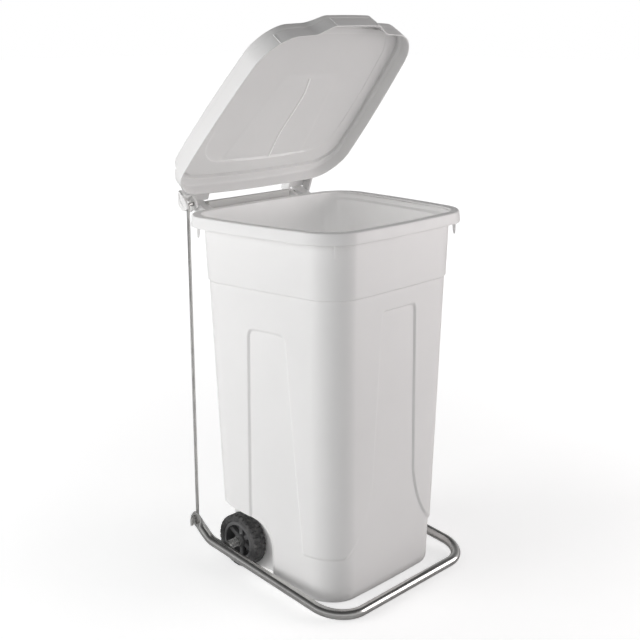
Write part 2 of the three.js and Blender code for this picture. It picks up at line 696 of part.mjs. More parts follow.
for (const [side, where] of [[-1, "left"], [1, "right"]]) {
  add(bin, `hinge_pin_${where}`, hingePin(side), DULL_STEEL);
  add(bin, `hinge_clip_${where}`, hingeClip(side), DULL_STEEL);
  add(bin, `pedal_boss_${where}`, pedalBoss(side), STEEL);
  add(bin, `wheel_${where}`, wheelHub(side), BLACK);
  add(bin, `tyre_${where}`, tyre(side), RUBBER);
  add(bin, `hub_bush_${where}`, hubBush(side), LEVER_WHITE);
  add(bin, `washer_inner_${where}`, washer([ARCH_X + GAP, HUB_X[0] - 0.6], side), DULL_STEEL);
  add(bin, `washer_outer_${where}`, washer([HUB_X[1] + 0.6, HUB_X[1] + 2.1], side), DULL_STEEL);
}

export default bin;
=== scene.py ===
"""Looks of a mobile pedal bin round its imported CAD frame.

Pieces are drawn in millimetres, which mesh_object turns into metres; lights and camera are in metres.
"""
import json
import math

import bmesh
import bpy
import numpy as np
from mathutils import Matrix, Vector


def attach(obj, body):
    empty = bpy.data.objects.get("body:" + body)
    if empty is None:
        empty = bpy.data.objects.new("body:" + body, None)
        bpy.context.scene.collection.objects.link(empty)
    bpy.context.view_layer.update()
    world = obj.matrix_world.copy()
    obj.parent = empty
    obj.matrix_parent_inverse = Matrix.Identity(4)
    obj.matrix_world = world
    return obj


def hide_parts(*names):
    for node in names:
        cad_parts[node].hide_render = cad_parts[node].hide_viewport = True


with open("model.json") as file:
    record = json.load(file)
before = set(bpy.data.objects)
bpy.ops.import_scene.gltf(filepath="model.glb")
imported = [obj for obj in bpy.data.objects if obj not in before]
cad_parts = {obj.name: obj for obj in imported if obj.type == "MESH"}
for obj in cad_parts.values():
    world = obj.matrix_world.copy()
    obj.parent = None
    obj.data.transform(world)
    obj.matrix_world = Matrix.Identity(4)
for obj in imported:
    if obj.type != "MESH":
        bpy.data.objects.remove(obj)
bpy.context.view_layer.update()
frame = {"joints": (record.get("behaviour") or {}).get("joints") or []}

# ---- driving dimensions, in millimetres of the shared frame ---------------------------------

MM = 0.001
JOINTS = {joint["name"]: joint for joint in frame["joints"]}
HINGE = np.array(JOINTS["lid_hinge"]["pos_m"]) / MM
AXLE = np.array(JOINTS["pedal_hinge"]["pos_m"]) / MM
ROD_LOW = np.array(JOINTS["rod_hinge"]["pos_m"]) / MM
LID_OPEN = math.radians(JOINTS["lid_hinge"]["range_deg"][1])
SHIFT_Y = -11.9  # puts the middle of the whole bin over the origin

PLAN_TAPER = 0.08
RIM_Z = 800
RIM = {"half": (242, 211.5), "corner": 71, "bulge": 10}
FOOT = {"half": (191.5, 170.5), "corner": 66, "shift": -5.7}
MOUTH = {"half": (212, 189.5), "corner": 62}
WALL_BULGE = 4
RIM_SKIRT_Z = 776
RIM_WIDTH = 19
BAND_Z = 662
COLUMN_Z = 104
PANEL_LEVEL = -3
COLUMN_LEVEL = 1
BAND_LEVEL = 4
FLOOR_Z = 9
SKIN = 6.5
ARCH_X = 140

LID = {"half": (244.3, 220), "corner": 75, "bulge": 10}
LID_REAR = -31.7
LID_SEAT = 1
GRIP_REACH = 21
GRIP_HALF = 61
GRIP_RUNOUT = 112
REAR_PULL = 14
STEP_HALF = 190

PIN_R = 4
KNUCKLE_R = 11
LUG_INNER = (116, 124)
CHEEK_INNER = (106, 113)
LUG_OUTER = (140, 164)
CHEEK_OUTER = (176, 182.5)
HINGE_START = {-1: LUG_OUTER[0], 1: CHEEK_INNER[0]}
WEB_START = {-1: 119, 1: CHEEK_INNER[0] + 1}
RAIL_X = (-LUG_OUTER[0] - 2, CHEEK_INNER[0] - 2)

AXLE_R = 6
TYRE_R = 60.5
WHEEL_R = 45
TYRE_X = (142.5, 175.5)
HUB_X = (143, 175)
SPOKES = 6

TUBE_R = 11
PEDAL_HALF_X = 219
PEDAL_FRONT = 352
PEDAL_REAR = 34
PEDAL_CORNER = 70
PEDAL_PITCH = math.radians(8)
PEDAL_KICK = math.radians(30)
KICK_START = 42.4
KICK_LENGTH = 73
TAB_HALF = 17
TAB_THICK = 4.4

ROD_R = 3.5
ROD_LOW_X = -210.5
ROD_TOP_X = -202
LEVER_PIVOT = (-23.3, -10.3)
PIVOT_PLAY = (2.6, 1.4)  # how far the rod's upper end wanders in the lever on its way
LEVER_SCREWS = ((-30, 11), (-18, 5))

# ---- mesh helpers ---------------------------------------------------------------------------


def linked_object(name, data):
    obj = bpy.data.objects.new(name, data)
    bpy.context.scene.collection.objects.link(obj)
    return obj


def mesh_object(name, points, faces):
    """Mesh from points in millimetres."""
    mesh = bpy.data.meshes.new(name)
    mesh.from_pydata((np.asarray(points, float) * MM).tolist(), [], faces)
    mesh.validate()
    return linked_object(name, mesh)


def finish_piece(obj, body, material, replaces=(), sharp=38):
    """Smooth shading with sharp edges kept, then material, body and the CAD nodes it stands for."""
    mesh = obj.data
    mesh.polygons.foreach_set("use_smooth", [True] * len(mesh.polygons))
    mesh.set_sharp_from_angle(angle=math.radians(sharp))
    mesh.materials.clear()
    mesh.materials.append(material)
    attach(obj, body)
    if replaces:
        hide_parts(*replaces)
    return obj


def loft(rings, looped=False):
    """Points and faces through rings of equally many points, with closed ends or joined into a loop."""
    count = len(rings[0])
    points = np.concatenate(rings)
    faces = []
    for i in range(len(rings) if looped else len(rings) - 1):
        base, after = i * count, (i + 1) % len(rings) * count
        for j in range(count):
            k = (j + 1) % count
            faces.append((base + j, base + k, after + k, after + j))
    if not looped:
        points = np.concatenate([points, [rings[0].mean(0)], [rings[-1].mean(0)]])
        first, last = len(points) - 2, len(points) - 1
        for j in range(count):
            k = (j + 1) % count
            faces.append((first, k, j))
            faces.append((last, after + j, after + k))
    return points, faces


def boolean(obj, other, operation):
    """Joins or cuts obj with other, which is used up."""
    modifier = obj.modifiers.new("cut", "BOOLEAN")
    modifier.operation = operation
    modifier.solver = "MANIFOLD"
    modifier.object = other
    bpy.context.view_layer.update()
    result = bpy.data.meshes.new_from_object(obj.evaluated_get(bpy.context.evaluated_depsgraph_get()))
    obj.modifiers.remove(modifier)
    old = obj.data
    obj.data = result
    bpy.data.meshes.remove(old)
    bpy.data.meshes.remove(other.data)
    return obj


def bevel(obj, width):
    """Rounds every edge sharper than 30 degrees."""
    mesh = bmesh.new()
    mesh.from_mesh(obj.data)
    edges = [e for e in mesh.edges if e.is_manifold and e.calc_face_angle() > math.radians(30)]
    bmesh.ops.bevel(mesh, geom=edges, offset=width * MM, segments=2, profile=0.5,
                    affect="EDGES", clamp_overlap=True)
    mesh.to_mesh(obj.data)
    mesh.free()
    return obj


def join(name, objects):
    """One object with the meshes of several."""
    mesh = bmesh.new()
    for obj in objects:
        mesh.from_mesh(obj.data)
    joined = bpy.data.meshes.new(name)
    mesh.to_mesh(joined)
    mesh.free()
    for obj in objects:
        bpy.data.meshes.remove(obj.data)
    return linked_object(name, joined)


def plate_x(name, outline, start, end, origin=(0, 0)):
    """Flat outline round an origin in the Y-Z plane, extruded along X."""
    low, high = ([(x, origin[0] + y, origin[1] + z) for y, z in outline] for x in (start, end))
    count = len(outline)
    sides = [(j, (j + 1) % count, count + (j + 1) % count, count + j) for j in range(count)]
    faces = sides + [tuple(range(count - 1, -1, -1)), tuple(range(count, 2 * count))]
    return outward(mesh_object(name, low + high, faces))


def outward(obj):
    """Turns the faces of a closed mesh outward."""
    mesh = bmesh.new()
    mesh.from_mesh(obj.data)
    bmesh.ops.recalc_face_normals(mesh, faces=mesh.faces)
    mesh.to_mesh(obj.data)
    mesh.free()
    return obj


def lathe_x(name, profile, centre, sides=48):
    """Body of revolution round a line along X; the profile is a closed loop of (radius, x)."""
    angles = np.linspace(0, 2 * math.pi, sides, endpoint=False)
    rings = [np.array([(x, centre[1] + r * math.cos(a), centre[2] + r * math.sin(a)) for r, x in profile])
             for a in angles]
    return outward(mesh_object(name, *loft(rings, looped=True)))


def rod_x(name, radius, start, end, centre):
    """Plain round rod along X."""
    turn = np.linspace(0, 2 * math.pi, 32, endpoint=False)
    y, z = centre[1] + radius * np.cos(turn), centre[2] + radius * np.sin(turn)
    return outward(mesh_object(name, *loft([np.stack([np.full(32, x), y, z], 1) for x in (start, end)])))


def sleeve_profile(inner, outer, start, end, chamfer):
    """Profile of a sleeve, washer or ring with its outer edges chamfered."""
    return [(inner, start), (outer - chamfer, start), (outer, start + chamfer), (outer, end - chamfer),
            (outer - chamfer, end), (inner, end)]


def span(pair, side):
    """Start and end along X of a part that is mirrored onto the left side when side is -1."""
    return pair if side > 0 else (-pair[1], -pair[0])


def arc(centre, radius, start, end, steps):
    """Points of a circular arc, angles in degrees."""
    angles = np.radians(np.linspace(start, end, steps + 1))
    return [(centre[0] + radius * math.cos(a), centre[1] + radius * math.sin(a)) for a in angles]


def curve(start, pull, end, places):
    """Points on the curve that leaves start towards pull and comes to end from it; places run from 0 to 1."""
    start, pull, end = (np.array(point, float) for point in (start, pull, end))
    return [(1 - t) ** 2 * start + 2 * t * (1 - t) * pull + t ** 2 * end for t in places]


def softened(points, reach, steps):
    """Open line with its corners replaced by short curves."""
    points = [np.array(p, float) for p in points]
    line = [points[0]]
    for before, corner, after in zip(points, points[1:], points[2:]):
        back, ahead = before - corner, after - corner
        start = corner + back * min(0.45, reach / max(np.linalg.norm(back), 1e-6))
        end = corner + ahead * min(0.45, reach / max(np.linalg.norm(ahead), 1e-6))
        line += curve(start, corner, end, np.linspace(0, 1, steps + 1))
    line.append(points[-1])
    return line


def softened_loop(points, reach, steps):
    """Closed outline with its corners replaced by short curves."""
    wrapped = [points[-1], *points, points[0]]
    return softened(wrapped, reach, steps)[1:-1]


def rounded_path(corners, radii, steps):
    """Path through corners, with true arcs of the given radii."""
    corners = [Vector(c) for c in corners]
    path = [corners[0]]
    for before, corner, after, radius in zip(corners, corners[1:], corners[2:], radii):
        back, ahead = (before - corner).normalized(), (after - corner).normalized()
        half = back.angle(ahead) / 2
        centre = corner + (back + ahead).normalized() * (radius / math.sin(half))
        start = corner + back * (radius / math.tan(half)) - centre
        end = corner + ahead * (radius / math.tan(half)) - centre
        axis = start.cross(end).normalized()
        for i in range(steps + 1):
            path.append(centre + Matrix.Rotation((math.pi - 2 * half) * i / steps, 3, axis) @ start)
    path.append(corners[-1])
    return path


def squarer(value, exponent):
    """Sine or cosine of a section that is round at exponent 1 and squarer below it."""
    return math.copysign(abs(value) ** exponent, value)


def sweep(name, path, radius, sides, size=None, power=None):
    """Round bar along a path; size(i) scales it across and up, power(i) makes the section squarer."""
    across = Vector((1, 0, 0))
    rings = []
    for i, point in enumerate(path):
        tangent = (path[min(i + 1, len(path) - 1)] - path[max(i - 1, 0)]).normalized()
        across = (across - tangent * across.dot(tangent)).normalized()
        up = tangent.cross(across)
        wide, tall = size(i) if size else (1, 1)
        exponent = power(i) if power else 1
        ring = []
        for k in range(sides):
            angle = 2 * math.pi * k / sides
            u = squarer(math.cos(angle), exponent) * wide * radius
            v = squarer(math.sin(angle), exponent) * tall * radius
            ring.append(point + across * u + up * v)
        rings.append(np.array(ring))
    return mesh_object(name, *loft(rings))


# ---- plan shape of the tub and the lid ------------------------------------------------------

CORNERS = ((1, 1), (-1, 1), (-1, -1), (1, -1))
SIDES = ((-1, "left"), (1, "right"))
CORNER_STEPS = 24
LID_SIDE_STEPS = 44


def plan_ring(shape, z, inset, shift, sides):
    """Rounded, tapered and bulging outline; sides(number, half length) gives the places along a side."""
    half_x, half_y = shape["half"][0] - inset, shape["half"][1] - inset
    radius = max(shape["corner"] - inset, 12)
    raw = []
    for number, (sx, sy) in enumerate(CORNERS):
        turn = np.radians(90 * number + np.linspace(0, 90, CORNER_STEPS + 1))
        raw += list(zip(sx * (half_x - radius) + radius * np.cos(turn),
                        sy * (half_y - radius) + radius * np.sin(turn)))
        along_x = number % 2 == 0
        length = (half_x if along_x else half_y) - radius
        for place in sides(number, length):
            at = -place if number < 2 else place
            raw.append((at, sy * half_y) if along_x else (sx * half_x, at))
    x, y = np.array(raw).T
    bow_x = 1 - shape["bulge"] / half_x * (y / half_y) ** 2
    bow_y = 1 - shape["bulge"] / half_y * (x / half_x) ** 2
    return np.stack([x * bow_x * (1 + PLAN_TAPER * y / half_y), y * bow_y + shift, np.full_like(x, z)], 1)


def even_sides(steps):
    return lambda number, length: np.linspace(-length, length, steps + 1)[1:-1]


# ---- materials ------------------------------------------------------------------------------


def node_material(name, **values):
    """Material with its node tree and shader, whose sockets are set by name."""
    material = bpy.data.materials.new(name)
    material.use_nodes = True
    shader = material.node_tree.nodes["Principled BSDF"]
    for socket, value in values.items():
        shader.inputs[socket.replace("_", " ")].default_value = value
    return material, material.node_tree, shader


def add_node(tree, kind, **inputs):
    """Shader node with its inputs set or linked; in a name an underscore stands for a space."""
    node = tree.nodes.new("ShaderNode" + kind)
    for socket, value in inputs.items():
        feed(tree, node.inputs[socket.replace("_", " ")], value)
    return node


def feed(tree, socket, value):
    """Links another node's output to a socket, or sets the socket to a value."""
    if isinstance(value, bpy.types.NodeSocket):
        tree.links.new(value, socket)
    else:
        socket.default_value = value


def noise(tree, scale, detail, roughness=0.55, stretch=(1, 1, 1)):
    """Noise fixed to the piece, finer with a larger scale."""
    place = add_node(tree, "TexCoord").outputs["Object"]
    mapping = add_node(tree, "Mapping", Vector=place, Scale=stretch)
    texture = add_node(tree, "TexNoise", Vector=mapping.outputs["Vector"], Scale=scale, Detail=detail,
                       Roughness=roughness)
    return texture.outputs["Fac"]


def spread(tree, factor, low, high, start=0.3, end=0.7):
    """Maps a value between start and end to one between low and high."""
    node = add_node(tree, "MapRange", Value=factor, From_Min=start, From_Max=end, To_Min=low, To_Max=high)
    return node.outputs["Result"]


def mixed(tree, factor, first, second):
    """Colour between two, which may be colours or sockets."""
    node = tree.nodes.new("ShaderNodeMix")
    node.data_type = "RGBA"
    for name, value in (("Factor", factor), ("A", first), ("B", second)):
        feed(tree, node.inputs[name], (*value, 1) if isinstance(value, tuple) else value)
    return node.outputs["Result"]


def surface(tree, shader, colour, roughness, height, strength, distance):
    """Links a colour, a roughness and the bumps of a height to the shader."""
    bump = add_node(tree, "Bump", Height=height, Strength=strength, Distance=distance)
    tree.links.new(colour, shader.inputs["Base Color"])
    tree.links.new(roughness, shader.inputs["Roughness"])
    tree.links.new(bump.outputs["Normal"], shader.inputs["Normal"])


def edge_wear(tree):
    """Rises on the outer edges of a shape."""
    return spread(tree, add_node(tree, "NewGeometry").outputs["Pointiness"], 0, 1, 0.51, 0.58)


def moulded_plastic(name, colour, worn, roughness=0.38, grain=900):
    """Satin moulding: faint cloudiness in the colour, fine grain, edges rubbed a little."""
    material, tree, shader = node_material(name, Specular_IOR_Level=0.42)
    cloud = spread(tree, noise(tree, 5, 3), 0, 1)
    base = mixed(tree, cloud, colour, tuple(c * 0.972 for c in colour))
    sheen = spread(tree, noise(tree, 28, 5), roughness - 0.05, roughness + 0.09)
    rubbed = mixed(tree, edge_wear(tree), base, worn)
    surface(tree, shader, rubbed, sheen, noise(tree, grain, 2), 0.35, 0.00004)
    return material


def polished_steel(name, colour, dark, roughness, stretch=(1, 1, 1)):
    """Bright metal with fine drawn lines and a few dull patches."""
    material, tree, shader = node_material(name, Metallic=1.0)
    patches = spread(tree, noise(tree, 40, 5), 0, 1, 0.35, 0.75)
    lines = noise(tree, 260, 3, 0.6, stretch)
    sheen = spread(tree, lines, roughness * 0.75, roughness * 1.5)
    surface(tree, shader, mixed(tree, patches, colour, dark), sheen, lines, 0.12, 0.00003)
    return material


def rubber(name, colour, dusty):
    """Dull black rubber, dusty in patches."""
    material, tree, shader = node_material(name, Specular_IOR_Level=0.3)
    dust = spread(tree, noise(tree, 60, 6, 0.7), 0, 0.8, 0.42, 0.75)
    sheen = spread(tree, noise(tree, 90, 4), 0.5, 0.78)
    surface(tree, shader, mixed(tree, dust, colour, dusty), sheen, noise(tree, 1400, 3), 0.5, 0.00006)
    return material


WHITE = moulded_plastic("white_plastic", (0.86, 0.855, 0.85), (0.90, 0.895, 0.89))
LID_WHITE = moulded_plastic("lid_plastic", (0.79, 0.785, 0.78), (0.86, 0.855, 0.85), 0.36)
# painted highlight: a lighter copy of the lid plastic, so the underside rib and the skirt beads show as
# bright lit lines
RIB_PAINTED_HIGHLIGHT = moulded_plastic("rib_plastic_painted_highlight", (0.99, 0.985, 0.98), (0.99, 0.99, 0.985), 0.30)
# painted shade: a darker grey copy of the tub's white plastic, for the rail shaded by the open lid
RAIL_PAINTED_SHADE = moulded_plastic("rail_plastic_painted_shade", (0.50, 0.495, 0.485), (0.60, 0.595, 0.585), 0.42)
LEVER_WHITE = moulded_plastic("lever_plastic", (0.80, 0.795, 0.785), (0.86, 0.855, 0.85), 0.42)
NYLON = moulded_plastic("nylon", (0.72, 0.70, 0.65), (0.78, 0.76, 0.72), 0.45)
BLACK = moulded_plastic("black_plastic", (0.030, 0.030, 0.031), (0.075, 0.074, 0.073), 0.40, 1200)
WHEEL_GREY = moulded_plastic("wheel_plastic", (0.11, 0.11, 0.112), (0.20, 0.20, 0.20), 0.44, 1100)
RUBBER = rubber("tyre_rubber", (0.062, 0.062, 0.063), (0.165, 0.163, 0.16))
CHROME = polished_steel("pedal_steel", (0.60, 0.595, 0.585), (0.52, 0.515, 0.505), 0.17)
BOSS_STEEL = polished_steel("boss_steel", (0.88, 0.875, 0.86), (0.76, 0.755, 0.74), 0.22)
ROD_STEEL = polished_steel("rod_steel", (0.72, 0.715, 0.70), (0.56, 0.555, 0.545), 0.24, (1, 1, 0.05))
ZINC = polished_steel("zinc_steel", (0.60, 0.60, 0.59), (0.47, 0.465, 0.455), 0.34)

# ---- tub ------------------------------------------------------------------------------------

# Recess in the left and right faces, as (y, z): up the rear edge, across the top and down the front edge
SIDE_PANEL = ((53, 60), (53, 180), (41, 565), (33, 577),
              (-46, 577), (-56, 568), (-71, 336), (-91, 92), (-96, 60))
END_PANEL_Z = 622
PANEL_FOOT_Z = 60


def end_panel():
    """Right half of the recess in the front and rear faces, from its top to its foot, as (x, z)."""
    waist = (68, 245)
    top = [(0, END_PANEL_Z), *softened([(20, END_PANEL_Z), (52, END_PANEL_Z), waist], 11, 6)]
    flare = curve(waist, (86, 150), (140, COLUMN_Z), np.linspace(0.06, 1, 18))
    return [*top, *flare, (150, PANEL_FOOT_Z)]


END_PANEL = end_panel()
END_PANEL_LOOP = np.array(END_PANEL + [(-x, z) for x, z in reversed(END_PANEL[1:])])
SIDE_PANEL_LOOP = np.array(softened_loop([(y + SHIFT_Y, z) for y, z in SIDE_PANEL], 9, 4))


def distance_outside(loop, u, v):
    """Signed distance from points to a closed outline, positive outside it."""
    nearest = np.full(u.shape, 1e9)
    inside = np.zeros(u.shape, bool)
    for (u1, v1), (u2, v2) in zip(loop, np.roll(loop, -1, 0)):
        du, dv = u2 - u1, v2 - v1
        t = np.clip(((u - u1) * du + (v - v1) * dv) / (du * du + dv * dv + 1e-12), 0, 1)
        nearest = np.minimum(nearest, np.hypot(u - u1 - t * du, v - v1 - t * dv))
        crosses = (v1 > v) != (v2 > v)
        inside ^= crosses & (u < (u2 - u1) * (v - v1) / (v2 - v1 + 1e-12) + u1)
    return np.where(inside, -nearest, nearest)


def smooth(t):
    """Eased step from 0 to 1."""
    t = np.clip(t, 0, 1)
    return t * t * (3 - 2 * t)


def wall_shape(z):
    """Plan shape of the wall at a height, and its shift from the mouth along Y."""
    t = min(z / RIM_Z, 1)
    half = tuple(foot + (mouth - foot) * t for foot, mouth in zip(FOOT["half"], MOUTH["half"]))
    corner = FOOT["corner"] + (MOUTH["corner"] - FOOT["corner"]) * t
    return {"half": half, "corner": corner, "bulge": WALL_BULGE}, FOOT["shift"] * (1 - t)


def end_half_width(z):
    """Half width of the end panel at a height, from the points below its top corner."""
    edge = np.array(END_PANEL[8:])[::-1]
    return float(np.interp(np.clip(z, PANEL_FOOT_Z, 600), edge[:, 1], edge[:, 0]))


def side_edges(z):
    """Front and rear edge of the side panel at a height."""
    rear_y, rear_z = zip(*SIDE_PANEL[1:3])
    front_y, front_z = zip(*SIDE_PANEL[7:4:-1])
    return float(np.interp(z, front_z, front_y)), float(np.interp(z, rear_z, rear_y))


EDGE_BAND = 8  # half width of the close rows along a panel's edge
REAR_WIDENS, FRONT_NARROWS, SIDES_SHORTEN = 1.06, 0.90, 0.976  # by the plan's taper and bulge


def wall_sides(z):
    """Places along the sides of the wall at a height: close together where a panel's edge runs."""
    shift = wall_shape(z)[1]
    front, rear = side_edges(z)

    def places(number, length):
        if number % 2 == 0:
            wide = end_half_width(z) / (REAR_WIDENS if number == 0 else FRONT_NARROWS)
            low, high = -wide, wide
        else:
            low, high = (front - shift) / SIDES_SHORTEN, (rear - shift) / SIDES_SHORTEN
            if number == 1:
                low, high = -high, -low
        limit = length - EDGE_BAND - 3
        low, high = max(low, -limit), min(high, limit)
        marks = (-length, low - EDGE_BAND, low + EDGE_BAND, high - EDGE_BAND, high + EDGE_BAND, length)
        counts = (5, 10, 12, 10, 5)
        stretches = zip(marks, marks[1:], counts)
        return np.concatenate([np.linspace(*stretch)[1:] for stretch in stretches])[:-1]

    return places


def wall_ring(z, inset):
    """Ring of the wall at a height, inset from the wall line."""
    shape, shift = wall_shape(z)
    return plan_ring(shape, z, inset, shift + SHIFT_Y, wall_sides(min(z, BAND_Z)))


def rim_ring(z, inset):
    """Ring of the rim at a height, with its points spread as the wall's are."""
    def places(number, length):
        wall_length = MOUTH["half"][number % 2] - MOUTH["corner"]
        return wall_sides(BAND_Z)(number, wall_length) * (length / wall_length)
    return plan_ring(RIM, z, inset, SHIFT_Y, places)


def outer_ring(z):
    """Outside of the wall with the corner columns standing proud of the panels, and the band above them."""
    low, high = wall_ring(z, -PANEL_LEVEL), wall_ring(z, -COLUMN_LEVEL)
    middle = (low + high) / 2
    clear = np.minimum(distance_outside(SIDE_PANEL_LOOP, middle[:, 1], middle[:, 2]),
                       distance_outside(END_PANEL_LOOP, middle[:, 0], middle[:, 2]))
    clear = np.minimum(clear, middle[:, 2] - COLUMN_Z)
    raised = smooth(clear / 5 + 0.5)[:, None]
    ring = low + (high - low) * raised
    step = smooth((z - BAND_Z) / 4 + 0.5)
    return ring * (1 - step) + wall_ring(z, -BAND_LEVEL) * step if step > 0 else ring


def tub_rows():
    """Heights of the outside rows, closer where the shape changes."""
    stretches = ((12, 92, 8), (92, 160, 2.2), (160, 560, 9), (560, 582, 2), (582, 608, 6), (608, 630, 2),
                 (630, 656, 6), (656, 668, 1), (668, 774, 12))
    rows = []
    for start, end, step in stretches:
        rows += list(np.linspace(start, end, max(2, round((end - start) / step)), endpoint=False))
    return rows


def make_tub():
    """Shell from the middle of its foot up the outside, over the rim and down the inside to the floor."""
    foot = [(0, 90), (0, 30), (0, 12), (0.5, 9.5), (1.8, 7), (4, 5), (7, 0.6 - PANEL_LEVEL)]
    under_rim = [(-26, 0), (-8, 0), (-4.5, -1.5)]
    flange = [(-3, RIM_WIDTH - 9), (-3, 6), (-5, 3.4), (-10, 3), (-22, 1.1), (-23.5, 0.6)]
    skirt = [(-24, -0.2), (-23.9, -1), (-23.2, -1.7), (-22, -1.9), (-13, -1), (-4, -0.1)]
    top = [(-2.2, 0.2), (-1, 0.9), (-0.2, 2), (0, 3.4), (0, 9), (0, 15), (-0.3, 17), (-1.2, 18.3),
           (-3, RIM_WIDTH), (-7, RIM_WIDTH + 0.4)]
    band = [(RIM_Z - 18, 0), (730, 0), (BAND_Z + 8, 0), (BAND_Z + 2, 1), (BAND_Z - 2, 4)]
    inside = [(BAND_Z - 7, SKIN), *[(z, SKIN) for z in np.linspace(640, 40, 24)]]
    bottom = [(15, 0), (8, 1.2), (3.5, 4), (1, 8), (0, 14), (0, 90 - SKIN)]
    rings = [wall_ring(z, inset) for z, inset in foot]
    rings += [outer_ring(z) for z in tub_rows()]
    rings += [wall_ring(RIM_Z + drop, inset - BAND_LEVEL) for drop, inset in under_rim]
    rings += [rim_ring(RIM_Z + drop, inset) for drop, inset in flange + skirt + top]
    rings += [wall_ring(z, inset) for z, inset in band + inside]
    rings += [wall_ring(FLOOR_Z + rise, SKIN + inset) for rise, inset in bottom]
    return mesh_object("tub_shell", *loft(rings))


ARCH_FRONT = (-6, 92)
ARCH_KNEE = (56, 152)
ARCH_BACK = (300, 186)
BELOW = -20
BEYOND_X = 320


def arch_outline(grow):
    """Wheel arch seen from the side, open to the back and below."""
    front = ARCH_FRONT[0] - grow
    knee = (ARCH_KNEE[0], ARCH_KNEE[1] + grow)
    top = curve((front, ARCH_FRONT[1]), (front + 6, knee[1] - 6), knee, np.linspace(0, 1, 19))
    loop = [(front, BELOW), *top, (ARCH_BACK[0], ARCH_BACK[1] + grow), (ARCH_BACK[0], BELOW)]
    return [(y + SHIFT_Y, z) for y, z in loop]


def axle_slot_outline(grow):
    """Slot that the axle is dropped into from below."""
    half = 12 + grow
    return [(AXLE[1] - half, BELOW), *arc(AXLE[1:], half, 180, 0, 20), (AXLE[1] + half, BELOW)]


def inside_the_wall(obj):
    """The part of obj that lies inside the tub's lower wall."""
    rings = [wall_ring(z, 4.2) for z in np.linspace(1, 260, 12)]
    return boolean(mesh_object("liner", *loft(rings)), obj, "INTERSECT")


def cut_arches(tub):
    """Cuts the wheel arches and the axle's slot, and gives them walls inside the tub."""
    reach = ARCH_X + 3.5
    liners = [plate_x("arch_liner", arch_outline(4), *span((ARCH_X - 4, BEYOND_X), side)) for side in (-1, 1)]
    liner = boolean(*liners, "UNION")
    liner = boolean(liner, plate_x("slot_liner", axle_slot_outline(3.5), -reach, reach), "UNION")
    tub = boolean(tub, inside_the_wall(liner), "UNION")
    for side in (-1, 1):
        tub = boolean(tub, plate_x("arch", arch_outline(0), *span((ARCH_X, BEYOND_X), side)), "DIFFERENCE")
    return boolean(tub, plate_x("slot", axle_slot_outline(0), -reach, reach), "DIFFERENCE")


def wall_point(side, y, z, level):
    """Point of the left or right wall at a place along Y, at a level over the wall line."""
    shape, shift = wall_shape(z)
    half_x, half_y = shape["half"][0] + level, shape["half"][1] + level
    raw = (y - SHIFT_Y - shift) / (1 - WALL_BULGE / half_y)
    x = half_x * (1 - WALL_BULGE / half_x * (raw / half_y) ** 2) * (1 + PLAN_TAPER * raw / half_y)
    return Vector((side * x, y, z))


def arch_bead(side):
    """Rounded lip along the edge of a wheel arch."""
    outline = arch_outline(0)[1:-2]
    start, corner = outline[0], outline[-1]
    slope = (ARCH_BACK[1] - ARCH_KNEE[1]) / (ARCH_BACK[0] - ARCH_KNEE[0])
    straight = [(y, corner[1] + slope * (y - corner[0])) for y in np.linspace(corner[0] + 6, 92, 10)]
    line = [(start[0], z) for z in np.linspace(3, start[1] - 6, 12)] + outline + straight
    path = [wall_point(side, y, z, PANEL_LEVEL - 1.6) for y, z in line]
    return sweep("arch_lip_left" if side < 0 else "arch_lip_right", path, 2.6, 12)


def bag_hook(number):
    """Small hook under the rim in a corner, for the edge of the bag."""
    sx, sy = CORNERS[number]
    ring = wall_ring(RIM_SKIRT_Z, -BAND_LEVEL)
    corner = ring[np.argmax(ring[:, 0] * sx + ring[:, 1] * sy)]
    back = [(12, 0), (15, -5), (15.6, -17), (15, -31)]
    front = [(11.4, -31.5), (9.6, -24), (9, -14), (6, -8)]
    outline = softened_loop([(-3, 0), *back, *front, (-3, -5)], 2.2, 3)
    hook = bevel(plate_x(f"bag_hook_{number + 1}", outline, -2, 2), 0.7)
    turn = Matrix.Rotation(math.atan2(sy, sx) - math.pi / 2, 4, "Z")
    hook.data.transform(Matrix.Translation(Vector((corner[0], corner[1], RIM_SKIRT_Z + 3)) * MM) @ turn)
    return hook


def hinge_lug(name, pair, side):
    """Lug of the tub with a hole for the hinge pin."""
    start, end = span(pair, side)
    outline = [(-50, -22), (-34, -22), *arc((0, 0), KNUCKLE_R, -107, 110, 22), (-31, -2), (-50, -2)]
    lug = plate_x(name, outline, start, end, HINGE[1:])
    return bevel(boolean(lug, rod_x("pin_hole", PIN_R + 0.3, start - 5, end + 5, HINGE), "DIFFERENCE"), 0.9)


def rear_rail():
    """Bar between the hinge lugs that the bin is pulled by, with two webs to the rim."""
    section = softened_loop([(-21, -11), (-9, -11), (-9, 11), (-21, 11)], 2.4, 4)
    web = [(-48, -20), (-15, -10), (-15, -3), (-48, -3)]
    webs = [bevel(plate_x("rail_web", web, x - 3, x + 3, HINGE[1:]), 0.8) for x in (-45, 45)]
    return join("rear_rail", [plate_x("rear_rail", section, *RAIL_X, HINGE[1:]), *webs])


def build_tub():
    tub = cut_arches(make_tub())
    tub.name = "tub_shell"
    finish_piece(tub, "tub", WHITE, ["tub"], sharp=32)
    for side, where in SIDES:
        finish_piece(arch_bead(side), "tub", WHITE)
        lugs = {"inner": LUG_INNER, "outer": LUG_OUTER} if side > 0 else {"outer": LUG_OUTER}
        for kind, pair in lugs.items():
            finish_piece(hinge_lug(f"hinge_lug_{kind}_{where}", pair, side), "tub", WHITE)
    for number in range(len(CORNERS)):
        finish_piece(bag_hook(number), "tub", WHITE)
    # the rail takes the darker copy of the white plastic, painted shade from the open lid
    finish_piece(rear_rail(), "tub", RAIL_PAINTED_SHADE)


build_tub()

# ---- lid, drawn closed with the hinge axis at the origin ------------------------------------

